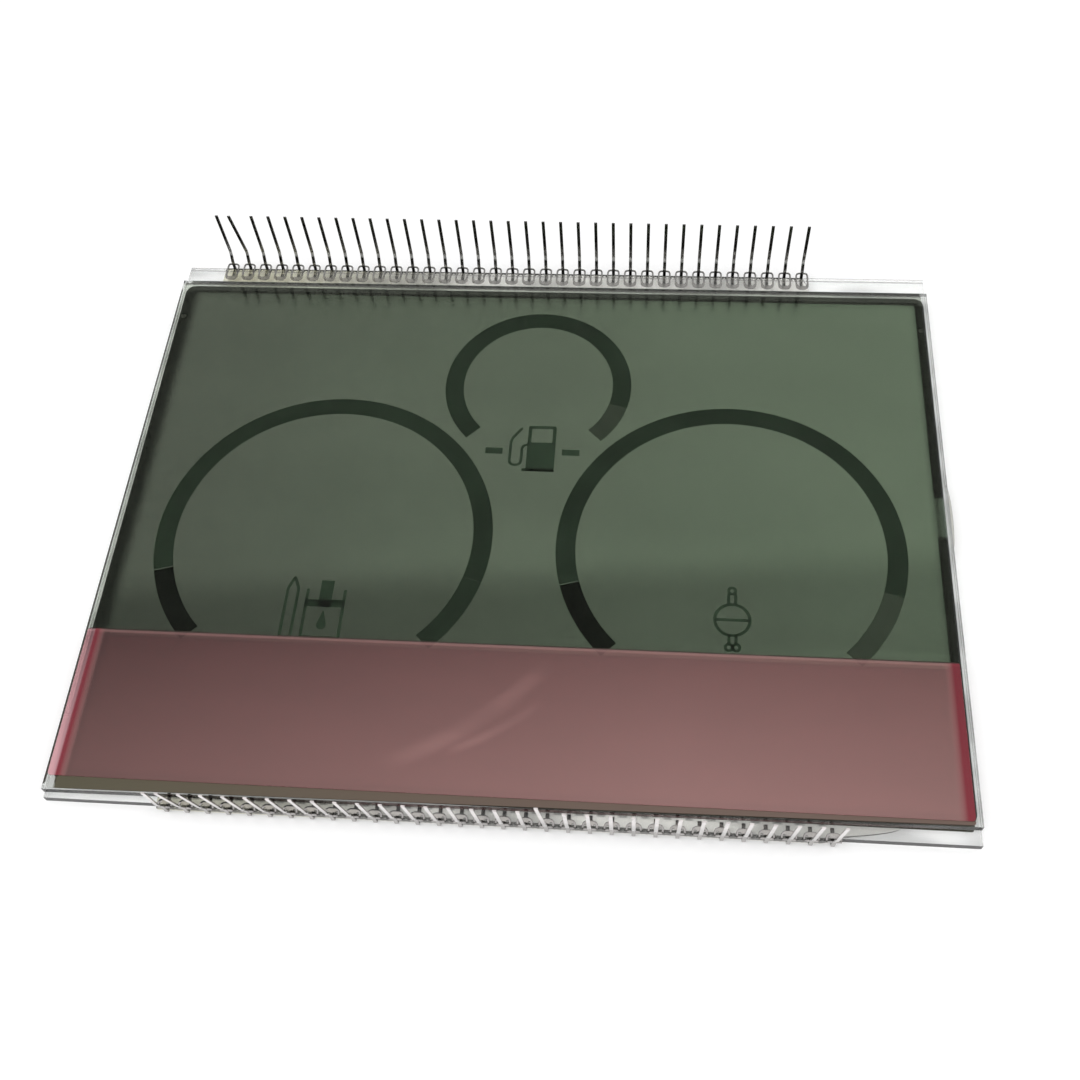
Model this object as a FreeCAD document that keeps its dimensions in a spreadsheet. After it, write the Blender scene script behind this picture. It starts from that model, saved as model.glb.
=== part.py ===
"""Segment LCD glass panel with stamped clip pins along both long edges.

Millimetres. The panel lies face down: the viewing face is the plane Z = 0, its centre is the origin,
X runs along the pin rows, Y across the panel and +Z towards the rear, where the pins stand up.
The bands and pictograms are therefore drawn as they look from behind.
"""
import FreeCAD, Part
import math
import os
import Sketcher

os.makedirs("parts", exist_ok=True)
V = FreeCAD.Vector
doc = FreeCAD.newDocument("LcdPanel")

# Driving dimensions: name, value and meaning of each

SIZES = [
    ("front_width", 110.6, "front glass along X"),
    ("front_depth", 85.3, "front glass along Y, ledges included"),
    ("glass_thickness", 1.1, "both glass plates"),
    ("top_ledge", 3.7, "bare front glass beyond the rear glass, upper edge"),
    ("bottom_ledge_left", 0.65, "the same at the left end of the lower edge"),
    ("bottom_ledge_right", 1.8, "the same at the right end: the rear glass is cut off square"),
    ("cell_gap", 0.1, "space between the plates"),
    ("electrode_thickness", 0.04, "band and pictogram layer in the gap"),
    ("polariser_thickness", 0.2, "both polarisers"),
    ("film_thickness", 0.12, "red film over the low band"),
    ("film_depth", 19.9, "red film along Y"),
    ("film_bottom_margin", 0.55, "red film to the rear glass's lower right corner, along Y"),
    ("film_side_margin", 0.4, "rear glass edge to the left edge of film and polariser"),
    ("film_far_margin", 0.9, "rear glass edge to the right edge of film and polariser"),
    ("polariser_top_margin", 0.6, "rear glass edge to the rear polariser, upper edge"),
    ("polariser_bottom_margin", 0.15, "rear glass edge to the rear polariser, lower edge"),
    ("front_polariser_margin", 0.6, "front glass edge to the front polariser, short edges"),
    ("front_polariser_top_margin", 3.9, "front glass edge to the front polariser, upper edge"),
    ("tongue_clearance", 0.4, "front polariser to the ends of the lower tongues"),
    ("seal_margin", 0.45, "rear glass edge to the seal"),
    ("seal_width", 1.3, "width of the seal line"),
    ("port_y", 1.0, "middle of the fill port along Y"),
    ("port_width", 6.0, "fill port along Y"),
    ("plug_bead_length", 10.4, "resin drop over the fill port, along Y"),
    ("plug_bead_height", 2.0, "resin drop along Z"),
    ("plug_bead_stand", 0.55, "resin drop beyond the glass edge"),
    ("plug_depth", 1.2, "resin drawn into the port, from the glass edge"),
    ("dot_radius", 0.4, "conductive dots in the seal line, to their corners"),
    ("dot_inset_y", 6.0, "dots from the seal's corners, along Y"),
    ("band_width", 2.6, "radial width of every gauge band"),
    ("band_gap", 0.14, "gap between two segments of a band"),
    ("band_start", -45.0, "angle where each band ends at the lower right"),
    ("band_end", 225.0, "angle where each band ends at the lower left"),
    ("low_segment_span", 29.0, "angle of the low segment at either end of a band"),
    ("gauge_side_clearance", 3.95, "seal line to the large bands"),
    ("gauge_middle_clearance", 4.2, "large bands to the panel's middle"),
    ("fuel_radius", 13.2, "outer radius of the small band"),
    ("fuel_top_clearance", 2.95, "seal line to the small band"),
    ("fuel_gauge_clearance", 1.48, "small band to the large bands"),
    ("pump_x", -0.75, "left side of the pump pictogram"),
    ("pump_drop", 14.65, "small band centre down to the foot of the pump pictogram"),
    ("pump_width", 3.9, "pump body along X"),
    ("pump_height", 7.6, "pump body along Y"),
    ("pump_frame", 0.5, "frame round the pump window"),
    ("pump_window_height", 2.3, "pump window along Y"),
    ("pump_foot_out", 0.5, "foot beyond the pump body on the hose side"),
    ("pump_foot_height", 0.45, "foot along Y"),
    ("hose_line", 0.38, "line width of the hose"),
    ("hose_radius", 0.8, "loop of the hose"),
    ("hose_out", 2.3, "hose riser from the pump body"),
    ("hose_join", 4.5, "height where the hose leaves the pump body"),
    ("hose_low", 1.8, "height of the loop's centre"),
    ("hose_high", 5.2, "height where the hose turns to the nozzle"),
    ("nozzle_rise", 2.0, "nozzle above that turn"),
    ("nozzle_run", 1.4, "nozzle towards the pump"),
    ("dash_length", 2.4, "dash beside the pump along X"),
    ("dash_width", 1.0, "dash along Y"),
    ("dash_drop", 11.4, "small band centre down to the middle of the dashes"),
    ("left_dash_x", -5.3, "middle of the left dash"),
    ("right_dash_x", 5.3, "middle of the right dash"),
    ("probe_x", -2.65, "slim probe pictogram from the left band centre, along X"),
    ("probe_drop", 15.2, "left band centre down to the foot of the probe pictogram"),
    ("probe_length", 8.7, "probe pictogram along Y, on its line's middle"),
    ("probe_half", 0.7, "half width of the probe, on its line's middle"),
    ("probe_taper", 1.6, "length of the probe's point"),
    ("icon_line", 0.4, "line width of probe, tank and float"),
    ("tank_x", 1.8, "middle of the tank pictogram from the left band centre, along X"),
    ("tank_drop", 15.1, "left band centre down to the foot of the tank pictogram"),
    ("tank_half", 2.45, "half width of the tank, on its line's middle"),
    ("tank_height", 5.3, "tank body along Y"),
    ("tank_shoulder", 0.9, "thick band across the tank's top"),
    ("tank_neck_half", 0.85, "half width of the neck"),
    ("tank_neck_height", 3.0, "neck above the body"),
    ("tank_ear_height", 1.7, "corner ears above the body"),
    ("drop_radius", 0.62, "drop in the tank"),
    ("drop_rise", 1.8, "foot of the tank up to the centre of the drop's round part"),
    ("drop_point", 2.1, "drop's point above that centre"),
    ("float_x", 0.25, "float pictogram from the right band centre, along X"),
    ("float_drop", 10.3, "right band centre down to the centre of the float's circle"),
    ("float_radius", 2.4, "outer radius of the circle"),
    ("float_stem_half", 0.45, "half distance of the stem's two lines"),
    ("float_stem_top", 1.3, "stem above the circle"),
    ("float_stem_low", 1.2, "stem below the circle"),
    ("float_loop", 0.66, "outer radius of the small loops, to their corners"),
    ("pin_pitch", 2.54, "spacing of the pins"),
    ("pin_stock", 0.2, "sheet thickness of the clips"),
    ("leg_width", 0.46, "width of a leg and of its tongue"),
    ("leg_step", 0.5, "how far a leg steps outwards above its ring"),
    ("leg_step_height", 1.75, "height of that step"),
    ("leg_length", 7.7, "leg above its step, along the leg"),
    ("ring_width", 1.6, "clip's ring across"),
    ("tine_width", 0.25, "strip that the ring is made of"),
    ("ring_height", 0.75, "ring above the front glass's rear face"),
    ("ring_shoulder", 0.35, "cut corners at the ring's top, each way"),
    ("clip_stand", 0.45, "glass edge to the clip's upright sheet"),
    ("bend_facet", 0.2, "outer facet of the clip's bends, each way"),
    ("upper_ring_reach", 2.3, "rings over the upper ledge"),
    ("lower_ring_reach", 0.6, "rings over the lower ledge"),
    ("tongue_reach", 1.5, "tongues under the front glass"),
    ("upper_row_start", -48.67, "first upper pin along X"),
    ("upper_pin_count", 35, "pins on the upper edge"),
    ("lower_row_start", -40.18, "first lower pin along X"),
    ("lower_pin_count", 32, "pins on the lower edge"),
    ("lower_bent_index", 18, "place of the bent pin in the lower row, from 0"),
    ("upper_lean", -1.0, "outward lean of the upper legs"),
    ("lower_lean", 9.0, "outward lean of the lower legs"),
    ("first_pin_tilt", 1.0, "sideways tilt of the first upper leg"),
    ("second_pin_tilt", 6.4, "sideways tilt of the second upper leg"),
    ("bent_pin_tilt", 4.2, "sideways tilt of the bent lower leg"),
    ("bent_pin_lean", 5.4, "outward lean of the bent lower leg"),
    ("resin_end_margin", 1.1, "resin beyond the end pins"),
    ("resin_height", 0.8, "resin where it meets the rear glass"),
    ("resin_lip", 0.35, "resin at the front glass edge"),
    ("resin_tail", 6.6, "smeared resin beyond the last lower pin"),
    ("resin_tail_slant", 3.0, "slant at the end of the smear"),
    ("resin_tail_height", 0.3, "thickness of the smear"),
]

SMALL_ROUND_SIDES = 8

sheet = doc.addObject("Spreadsheet::Sheet", "sizes")
for row, (alias, value, meaning) in enumerate(SIZES, 1):
    sheet.set(f"A{row}", meaning)
    sheet.set(f"B{row}", str(value))
    sheet.setAlias(f"B{row}", alias)
doc.recompute()


def value_of(expression):
    """The number that an expression on the sheet gives."""
    result = sheet.evalExpression(expression)
    return float(getattr(result, "Value", result))


# Levels and edges that several pieces share, as expressions on the sheet

FRONT_FACE = "sizes.polariser_thickness"
LEDGE_LEVEL = f"({FRONT_FACE} + sizes.glass_thickness)"
REAR_GLASS_LEVEL = f"({LEDGE_LEVEL} + sizes.cell_gap)"
REAR_FACE = f"({REAR_GLASS_LEVEL} + sizes.glass_thickness)"
FILM_LEVEL = f"({REAR_FACE} + sizes.polariser_thickness)"
HALF_WIDTH = "(sizes.front_width / 2)"
HALF_DEPTH = "(sizes.front_depth / 2)"
REAR_TOP = f"({HALF_DEPTH} - sizes.top_ledge)"
REAR_BOTTOM_LEFT = f"(sizes.bottom_ledge_left - {HALF_DEPTH})"
REAR_BOTTOM_RIGHT = f"(sizes.bottom_ledge_right - {HALF_DEPTH})"
REAR_BOTTOM_SLOPE = f"(({REAR_BOTTOM_RIGHT} - {REAR_BOTTOM_LEFT}) / sizes.front_width)"


def rear_bottom_at(x):
    """Y of the rear glass's lower edge at a place along X."""
    return f"({REAR_BOTTOM_LEFT} + {REAR_BOTTOM_SLOPE} * ({x} + {HALF_WIDTH}))"


# Sketches, bodies and solids

def origin_feature(body, role):
    return [item for item in body.Origin.OriginFeatures if item.Role == role][0]


def new_body(label):
    body = doc.addObject("PartDesign::Body", label)
    body.Label = label
    body.AllowCompound = True
    return body


def body_sketch(body, name, role="XY_Plane", level="0"):
    """A sketch on one of the body's own origin planes, lifted by an expression."""
    sketch = body.newObject("Sketcher::SketchObject", name)
    sketch.AttachmentSupport = [(origin_feature(body, role), "")]
    sketch.MapMode = "FlatFace"
    sketch.setExpression("AttachmentOffset.Base.z", f"({level}) * 1 mm")
    return sketch


def bind(sketch, constraint, expression):
    index = sketch.addConstraint(constraint)
    sketch.setExpression(f"Constraints[{index}]", expression)


def draw(sketch, corners, arcs=None, closed=True):
    """Straight runs between corners, each corner bound to a pair of expressions.

    arcs maps the number of a run to the radius of the arc that takes its place. The arc is the short one
    and bulges to the right of the run for a positive sign, given as (radius, sign).
    """
    arcs = arcs or {}
    places = [V(value_of(x), value_of(y), 0) for x, y in corners]
    runs = len(corners) if closed else len(corners) - 1
    first = sketch.GeometryCount
    for run in range(runs):
        start, end = places[run], places[(run + 1) % len(places)]
        if run in arcs:
            radius, sign = arcs[run]
            chord = end - start
            aside = V(chord.y, -chord.x, 0).normalize() * sign
            size = value_of(radius)
            rise = size - math.sqrt(max(size ** 2 - (chord.Length / 2) ** 2, 0))
            middle = (start + end) / 2 + aside * rise
            ends = (start, end) if sign > 0 else (end, start)
            sketch.addGeometry(Part.Arc(ends[0], middle, ends[1]), False)
        else:
            sketch.addGeometry(Part.LineSegment(start, end), False)
    # Every arc turns anticlockwise, so one that bulges to the left of its run starts at the run's end
    starts = [2 if run in arcs and arcs[run][1] < 0 else 1 for run in range(runs)]
    for run in range(runs if closed else runs - 1):
        after = (run + 1) % runs
        sketch.addConstraint(Sketcher.Constraint(
            "Coincident", first + run, 3 - starts[run], first + after, starts[after]))
    for corner, (x, y) in enumerate(corners):
        run, point = (corner, starts[corner]) if corner < runs else (runs - 1, 3 - starts[runs - 1])
        bind(sketch, Sketcher.Constraint("DistanceX", -1, 1, first + run, point, places[corner].x), x)
        bind(sketch, Sketcher.Constraint("DistanceY", -1, 1, first + run, point, places[corner].y), y)
    for run, (radius, sign) in arcs.items():
        bind(sketch, Sketcher.Constraint("Radius", first + run, value_of(radius)), radius)


def box_corners(left, bottom, right, top):
    return [(left, bottom), (right, bottom), (right, top), (left, top)]


def pad(body, sketch, length, both_ways=False):
    feature = body.newObject("PartDesign::Pad", f"{sketch.Name}_pad")
    feature.Profile = sketch
    feature.SideType = "Symmetric" if both_ways else "One side"
    feature.setExpression("Length", length)
    sketch.Visibility = False
    return feature


def pocket(body, sketch, length, both_ways=False):
    feature = body.newObject("PartDesign::Pocket", f"{sketch.Name}_pocket")
    feature.Profile = sketch
    feature.SideType = "Symmetric" if both_ways else "One side"
    feature.setExpression("Length", length)
    sketch.Visibility = False
    return feature


def plate(label, corners, level, thickness):
    """A flat sheet: one outline and one thickness."""
    body = new_body(label)
    sketch = body_sketch(body, f"{label}_outline", level=level)
    draw(sketch, corners)
    pad(body, sketch, thickness)
    return body


def placed(item, x, y, z):
    for axis, expression in zip("xyz", (x, y, z)):
        item.setExpression(f"Placement.Base.{axis}", f"({expression}) * 1 mm")


def block(name, left, bottom, width, depth, level, thickness):
    item = doc.addObject("Part::Box", name)
    item.setExpression("Length", width)
    item.setExpression("Width", depth)
    item.setExpression("Height", thickness)
    placed(item, left, bottom, level)
    return item


def cylinder(name, x, y, radius, level, thickness):
    item = doc.addObject("Part::Cylinder", name)
    item.setExpression("Radius", radius)
    item.setExpression("Height", thickness)
    placed(item, x, y, level)
    return item


def prism(name, x, y, radius, level, thickness):
    """A small round thing, drawn with a few straight sides."""
    item = doc.addObject("Part::Prism", name)
    item.Polygon = SMALL_ROUND_SIDES
    item.setExpression("Circumradius", radius)
    item.setExpression("Height", thickness)
    placed(item, x, y, level)
    return item


def cut(name, base, tool):
    item = doc.addObject("Part::Cut", name)
    item.Base = base
    item.Tool = tool
    return item


def fuse(name, pieces):
    item = doc.addObject("Part::MultiFuse", name)
    item.Shapes = pieces
    item.Refine = True
    return item


def group(name, pieces):
    """Separate solids side by side."""
    item = doc.addObject("Part::Compound", name)
    item.Links = pieces
    return item


def stroke(name, corners, width, closed=False):
    """A drawn line of the electrode layer: a centre line, given its width and the layer's thickness."""
    line = doc.addObject("Sketcher::SketchObject", f"{name}_line")
    draw(line, corners, closed=closed)
    placed(line, "0", "0", LEDGE_LEVEL)
    outline = doc.addObject("Part::Offset2D", f"{name}_outline")
    outline.Source = line
    outline.setExpression("Value", f"{width} / 2")
    outline.Fill = True
    outline.Mode = "Pipe"
    outline.Join = "Intersection"
    solid = doc.addObject("Part::Extrusion", name)
    solid.Base = outline
    solid.DirMode = "Custom"
    solid.Dir = V(0, 0, 1)
    solid.Solid = True
    solid.setExpression("LengthFwd", "sizes.electrode_thickness")
    return solid


# Glass plates, polarisers and film

def front_glass():
    corners = box_corners(f"-{HALF_WIDTH}", f"-{HALF_DEPTH}", HALF_WIDTH, HALF_DEPTH)
    return plate("front_glass", corners, FRONT_FACE, "sizes.glass_thickness")


def front_polariser():
    half_width = f"({HALF_WIDTH} - sizes.front_polariser_margin)"
    corners = box_corners(f"-{half_width}", f"sizes.tongue_reach + sizes.tongue_clearance - {HALF_DEPTH}",
                          half_width, f"{HALF_DEPTH} - sizes.front_polariser_top_margin")
    return plate("front_polariser", corners, "0", "sizes.polariser_thickness")


def rear_sheet_corners(left_margin, right_margin, top_margin, bottom_margin):
    """Outline of a sheet on the rear glass, whose lower edge runs off square."""
    left = f"({left_margin} - {HALF_WIDTH})"
    right = f"({HALF_WIDTH} - {right_margin})"
    top = f"({REAR_TOP} - {top_margin})"
    return [(left, f"({rear_bottom_at(left)} + {bottom_margin})"),
            (right, f"({rear_bottom_at(right)} + {bottom_margin})"),
            (right, top), (left, top)]


def rear_glass():
    return plate("rear_glass", rear_sheet_corners("0", "0", "0", "0"), REAR_GLASS_LEVEL,
                 "sizes.glass_thickness")


def rear_polariser():
    corners = rear_sheet_corners("sizes.film_side_margin", "sizes.film_far_margin",
                                 "sizes.polariser_top_margin", "sizes.polariser_bottom_margin")
    return plate("rear_polariser", corners, REAR_FACE, "sizes.polariser_thickness")


def red_film():
    left = f"(sizes.film_side_margin - {HALF_WIDTH})"
    right = f"({HALF_WIDTH} - sizes.film_far_margin)"
    bottom = f"({REAR_BOTTOM_RIGHT} + sizes.film_bottom_margin)"
    corners = box_corners(left, bottom, right, f"({bottom} + sizes.film_depth)")
    return plate("red_film", corners, FILM_LEVEL, "sizes.film_thickness")


# What lies in the cell gap

SEAL_SIDE = f"({HALF_WIDTH} - sizes.seal_margin)"
SEAL_TOP = f"({REAR_TOP} - sizes.seal_margin)"
SEAL_BOTTOM = f"({REAR_BOTTOM_RIGHT} + sizes.seal_margin)"
CELL_SIDE = f"({SEAL_SIDE} - sizes.seal_width)"
CELL_TOP = f"({SEAL_TOP} - sizes.seal_width)"
CELL_BOTTOM = f"({SEAL_BOTTOM} + sizes.seal_width)"
PORT_LOW = "(sizes.port_y - sizes.port_width / 2)"


def cell_block(name, side, bottom, top):
    return block(name, f"-{side}", bottom, f"2 * {side}", f"{top} - {bottom}", LEDGE_LEVEL,
                 "sizes.cell_gap")


def transfer_dots():
    """Four dots in the middle of the seal's side lines, two at either end."""
    x = f"({SEAL_SIDE} - sizes.seal_width / 2)"
    rows = [f"({SEAL_TOP} - sizes.dot_inset_y)", f"({SEAL_BOTTOM} + sizes.dot_inset_y)"]
    dots = []
    for number, (along, across) in enumerate([(x, rows[0]), (f"-{x}", rows[0]),
                                              (x, rows[1]), (f"-{x}", rows[1])], 1):
        dots.append(prism(f"transfer_dot_{number}", along, across, "sizes.dot_radius",
                          LEDGE_LEVEL, "sizes.cell_gap"))
    return group("transfer_dots", dots)


def liquid_crystal_block():
    return cell_block("crystal_space", CELL_SIDE, CELL_BOTTOM, CELL_TOP)


def seal_frame(dots):
    """The seal line, open at the fill port and round the conductive dots."""
    outer = cell_block("seal_outer", SEAL_SIDE, SEAL_BOTTOM, SEAL_TOP)
    inner = liquid_crystal_block()
    inner.Label = "seal_inner"
    port = block("seal_port", CELL_SIDE, PORT_LOW, "sizes.seal_width", "sizes.port_width",
                 LEDGE_LEVEL, "sizes.cell_gap")
    ring = cut("seal_ring", outer, fuse("seal_openings", [inner, port]))
    return cut("seal_frame", ring, dots)


def end_seal():
    """Resin plug: drawn into the fill port and standing off the glass edge as a flat drop."""
    body = new_body("end_seal")
    half = "sizes.plug_bead_length / 2"
    middle = f"({LEDGE_LEVEL} + sizes.cell_gap / 2)"
    bow = "((sizes.plug_bead_length ^ 2 / 4 + sizes.plug_bead_stand ^ 2) / (2 * sizes.plug_bead_stand))"
    drop = body_sketch(body, "plug_drop", level=middle)
    draw(drop, [(HALF_WIDTH, f"sizes.port_y - {half}"), (HALF_WIDTH, f"sizes.port_y + {half}")],
         arcs={1: (bow, -1)})
    pad(body, drop, "sizes.plug_bead_height", both_ways=True)
    stem = body_sketch(body, "plug_stem", level=middle)
    draw(stem, box_corners(f"{HALF_WIDTH} - sizes.plug_depth", PORT_LOW, HALF_WIDTH,
                           f"{PORT_LOW} + sizes.port_width"))
    pad(body, stem, "sizes.cell_gap", both_ways=True)
    return body


# Gauge bands and pictograms: the electrode layer on the front glass
# The two large bands share the width between the seal lines and hang below the small one

GAUGE_RADIUS = f"(({CELL_SIDE} - sizes.gauge_side_clearance - sizes.gauge_middle_clearance) / 2)"
GAUGE_X = f"(sizes.gauge_middle_clearance + {GAUGE_RADIUS})"
FUEL_Y = f"({CELL_TOP} - sizes.fuel_top_clearance - sizes.fuel_radius)"
CENTRE_TO_CENTRE = f"({GAUGE_RADIUS} + sizes.fuel_radius + sizes.fuel_gauge_clearance)"
GAUGE_Y = f"({FUEL_Y} - sqrt({CENTRE_TO_CENTRE} ^ 2 - {GAUGE_X} ^ 2))"
TANK_X = f"(sizes.tank_x - {GAUGE_X})"
TANK_LOW = f"({GAUGE_Y} - sizes.tank_drop)"

def electrode_cylinder(name, x, y, radius):
    return cylinder(name, x, y, radius, LEDGE_LEVEL, "sizes.electrode_thickness")


def electrode_block(name, left, bottom, width, depth):
    return block(name, left, bottom, width, depth, LEDGE_LEVEL, "sizes.electrode_thickness")


def band(label, x, y, radius, start, span):
    """One segment of a gauge band: a sector of a ring."""
    outer = electrode_cylinder(f"{label}_outer", x, y, radius)
    outer.setExpression("Angle", span)
    outer.Placement.Rotation = FreeCAD.Rotation(V(0, 0, 1), 1)
    outer.setExpression("Placement.Rotation.Angle", start)
    inner = electrode_cylinder(f"{label}_inner", x, y, f"{radius} - sizes.band_width")
    return cut(label, outer, inner)


def gauge(name, x, y, radius, low_left=True):
    """A band of 270 degrees in segments: low right, main and, where it is seen, low left."""
    gap = f"(sizes.band_gap / {radius} * 180 / pi)"
    whole = "(sizes.band_end - sizes.band_start)"
    main_start = f"(sizes.band_start + sizes.low_segment_span + {gap})"
    main_span = f"({whole} - sizes.low_segment_span - {gap})"
    pieces = [band(f"{name}_low_right", x, y, radius, "sizes.band_start", "sizes.low_segment_span")]
    if low_left:
        main_span = f"({main_span} - sizes.low_segment_span - {gap})"
        pieces.append(band(f"{name}_low_left", x, y, radius,
                           "sizes.band_end - sizes.low_segment_span", "sizes.low_segment_span"))
    pieces.append(band(f"{name}_band", x, y, radius, main_start, main_span))
    return pieces


def pump_pictogram():
    x, y = "sizes.pump_x", f"({FUEL_Y} - sizes.pump_drop)"
    body = electrode_block("pump_body", x, y, "sizes.pump_width", "sizes.pump_height")
    window = electrode_block(
        "pump_window", f"{x} + sizes.pump_frame",
        f"{y} + sizes.pump_height - sizes.pump_frame - sizes.pump_window_height",
        "sizes.pump_width - 2 * sizes.pump_frame", "sizes.pump_window_height")
    foot = electrode_block("pump_foot", f"{x} - sizes.pump_foot_out", y,
                           "sizes.pump_width + sizes.pump_foot_out", "sizes.pump_foot_height")
    riser = f"({x} - sizes.hose_out)"
    inner = f"({riser} + 2 * sizes.hose_radius)"
    low = f"({y} + sizes.hose_low)"
    hose = stroke("pump_hose", [
        (f"{x} + sizes.hose_line", f"{y} + sizes.hose_join"),
        (inner, f"{y} + sizes.hose_join - sizes.hose_line"),
        (inner, low),
        (f"{inner} - sizes.hose_radius / 2", f"{low} - sizes.hose_radius"),
        (f"{riser} + sizes.hose_radius / 2", f"{low} - sizes.hose_radius"),
        (riser, low),
        (riser, f"{y} + sizes.hose_high"),
        (f"{riser} + sizes.nozzle_run", f"{y} + sizes.hose_high + sizes.nozzle_rise"),
    ], "sizes.hose_line")
    return fuse("pump_pictogram", [cut("pump_case", body, window), foot, hose])


def range_dash(label, x):
    y = f"({FUEL_Y} - sizes.dash_drop)"
    return plate(label, box_corners(f"{x} - sizes.dash_length / 2", f"{y} - sizes.dash_width / 2",
                                    f"{x} + sizes.dash_length / 2", f"{y} + sizes.dash_width / 2"),
                 LEDGE_LEVEL, "sizes.electrode_thickness")


def probe_pictogram():
    x = f"(sizes.probe_x - {GAUGE_X})"
    low = f"({GAUGE_Y} - sizes.probe_drop)"
    left, right = f"{x} - sizes.probe_half", f"{x} + sizes.probe_half"
    high = f"{low} + sizes.probe_length"
    shoulder = f"{high} - sizes.probe_taper"
    return stroke("probe_pictogram", [(left, low), (right, low), (right, shoulder), (x, high),
                                      (left, shoulder)], "sizes.icon_line", closed=True)


def tank_pictogram():
    x, low = TANK_X, TANK_LOW
    half = "sizes.tank_half"
    top = f"({low} + sizes.tank_height)"
    walls = stroke("tank_walls", box_corners(f"{x} - {half}", low, f"{x} + {half}", top),
                   "sizes.icon_line", closed=True)
    shoulder = electrode_block("tank_shoulder_band", f"{x} - {half}", f"{top} - sizes.tank_shoulder",
                               f"2 * {half}", "sizes.tank_shoulder")
    neck = electrode_block("tank_neck", f"{x} - sizes.tank_neck_half", f"{top} - sizes.tank_shoulder",
                           "2 * sizes.tank_neck_half", "sizes.tank_neck_height + sizes.tank_shoulder")
    ears = [electrode_block(f"tank_ear_{name}", f"{place} - sizes.icon_line / 2",
                            f"{top} - sizes.tank_shoulder", "sizes.icon_line",
                            "sizes.tank_ear_height + sizes.tank_shoulder")
            for name, place in (("left", f"{x} - {half}"), ("right", f"{x} + {half}"))]
    return fuse("tank_pictogram", [walls, shoulder, neck] + ears)


def drop_pictogram():
    """A drop: round below and pointed above, inside the tank."""
    y = f"({TANK_LOW} + sizes.drop_rise)"
    radius = "sizes.drop_radius"
    flank = f"{radius} * cos(45 deg)"
    return plate("drop_pictogram", [
        (f"{TANK_X} + {radius}", y), (TANK_X, f"{y} + sizes.drop_point"), (f"{TANK_X} - {radius}", y),
        (f"{TANK_X} - {flank}", f"{y} - {flank}"), (TANK_X, f"{y} - {radius}"),
        (f"{TANK_X} + {flank}", f"{y} - {flank}"),
    ], LEDGE_LEVEL, "sizes.electrode_thickness")


def line_ring(name, shape, x, y, radius):
    """A closed round line, made from two cylinders or two prisms."""
    radii = (("outer", radius), ("inner", f"{radius} - sizes.icon_line"))
    pair = [shape(f"{name}_{end}", x, y, size, LEDGE_LEVEL, "sizes.electrode_thickness")
            for end, size in radii]
    return cut(name, *pair)


def float_pictogram():
    x = f"(sizes.float_x + {GAUGE_X})"
    y = f"({GAUGE_Y} - sizes.float_drop)"
    line = "sizes.icon_line"
    radius, loop = "sizes.float_radius", "sizes.float_loop"
    overlap = f"{line} / 2"
    top = f"({y} + {radius} - {overlap})"
    low = f"({y} - {radius} + {overlap})"
    pieces = [line_ring("float_circle", cylinder, x, y, radius),
              electrode_block("float_bar", f"{x} - {radius} + {overlap}", f"{y} - {line} / 2",
                              f"2 * {radius} - {line}", line)]
    for side, sign in (("left", "-"), ("right", "+")):
        centre = f"({x} {sign} sizes.float_stem_half)"
        pieces.append(electrode_block(f"float_stem_low_{side}", f"{centre} - {line} / 2",
                                      f"{low} - sizes.float_stem_low", line,
                                      f"sizes.float_stem_low + {overlap}"))
        pieces.append(electrode_block(f"float_stem_top_{side}", f"{centre} - {line} / 2", top, line,
                                      f"sizes.float_stem_top + {overlap}"))
        pieces.append(line_ring(f"float_loop_{side}", prism, centre,
                                f"{low} - sizes.float_stem_low - {loop} + {overlap}", loop))
    pieces.append(line_ring("float_loop_top", prism, x, f"{top} + sizes.float_stem_top + {loop}", loop))
    return fuse("float_pictogram", pieces)


# Stamped clip pins: a ring folded over the ledge, and a strip that is the leg above and, below the ring's
# window, the tongue under the glass

SHEET_IN = f"({HALF_DEPTH} + sizes.clip_stand)"
SHEET_OUT = f"({SHEET_IN} + sizes.pin_stock)"
RING_TOP = f"({LEDGE_LEVEL} + sizes.ring_height)"
STEP_IN = f"({SHEET_IN} + sizes.leg_step)"
STEP_OUT = f"({SHEET_OUT} + sizes.leg_step)"
STEP_TOP = f"({RING_TOP} + sizes.leg_step_height)"


def clip_sketch(body, name, x):
    return body_sketch(body, name, role="YZ_Plane", level=x)


def hook_corners(reach, sheet_low, sheet_high):
    """Side view of a strip that comes down the outside, turns inwards and lies along the glass.

    sheet_low and sheet_high are the lower and upper face of the part that lies along the glass. The outside
    of the bend is one facet at 45 degrees.
    """
    end = f"({HALF_DEPTH} - {reach})"
    return [(SHEET_IN, RING_TOP), (SHEET_IN, sheet_high), (end, sheet_high), (end, sheet_low),
            (f"{SHEET_OUT} - sizes.bend_facet", sheet_low),
            (SHEET_OUT, f"{sheet_low} + sizes.bend_facet"), (SHEET_OUT, RING_TOP)]


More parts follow.
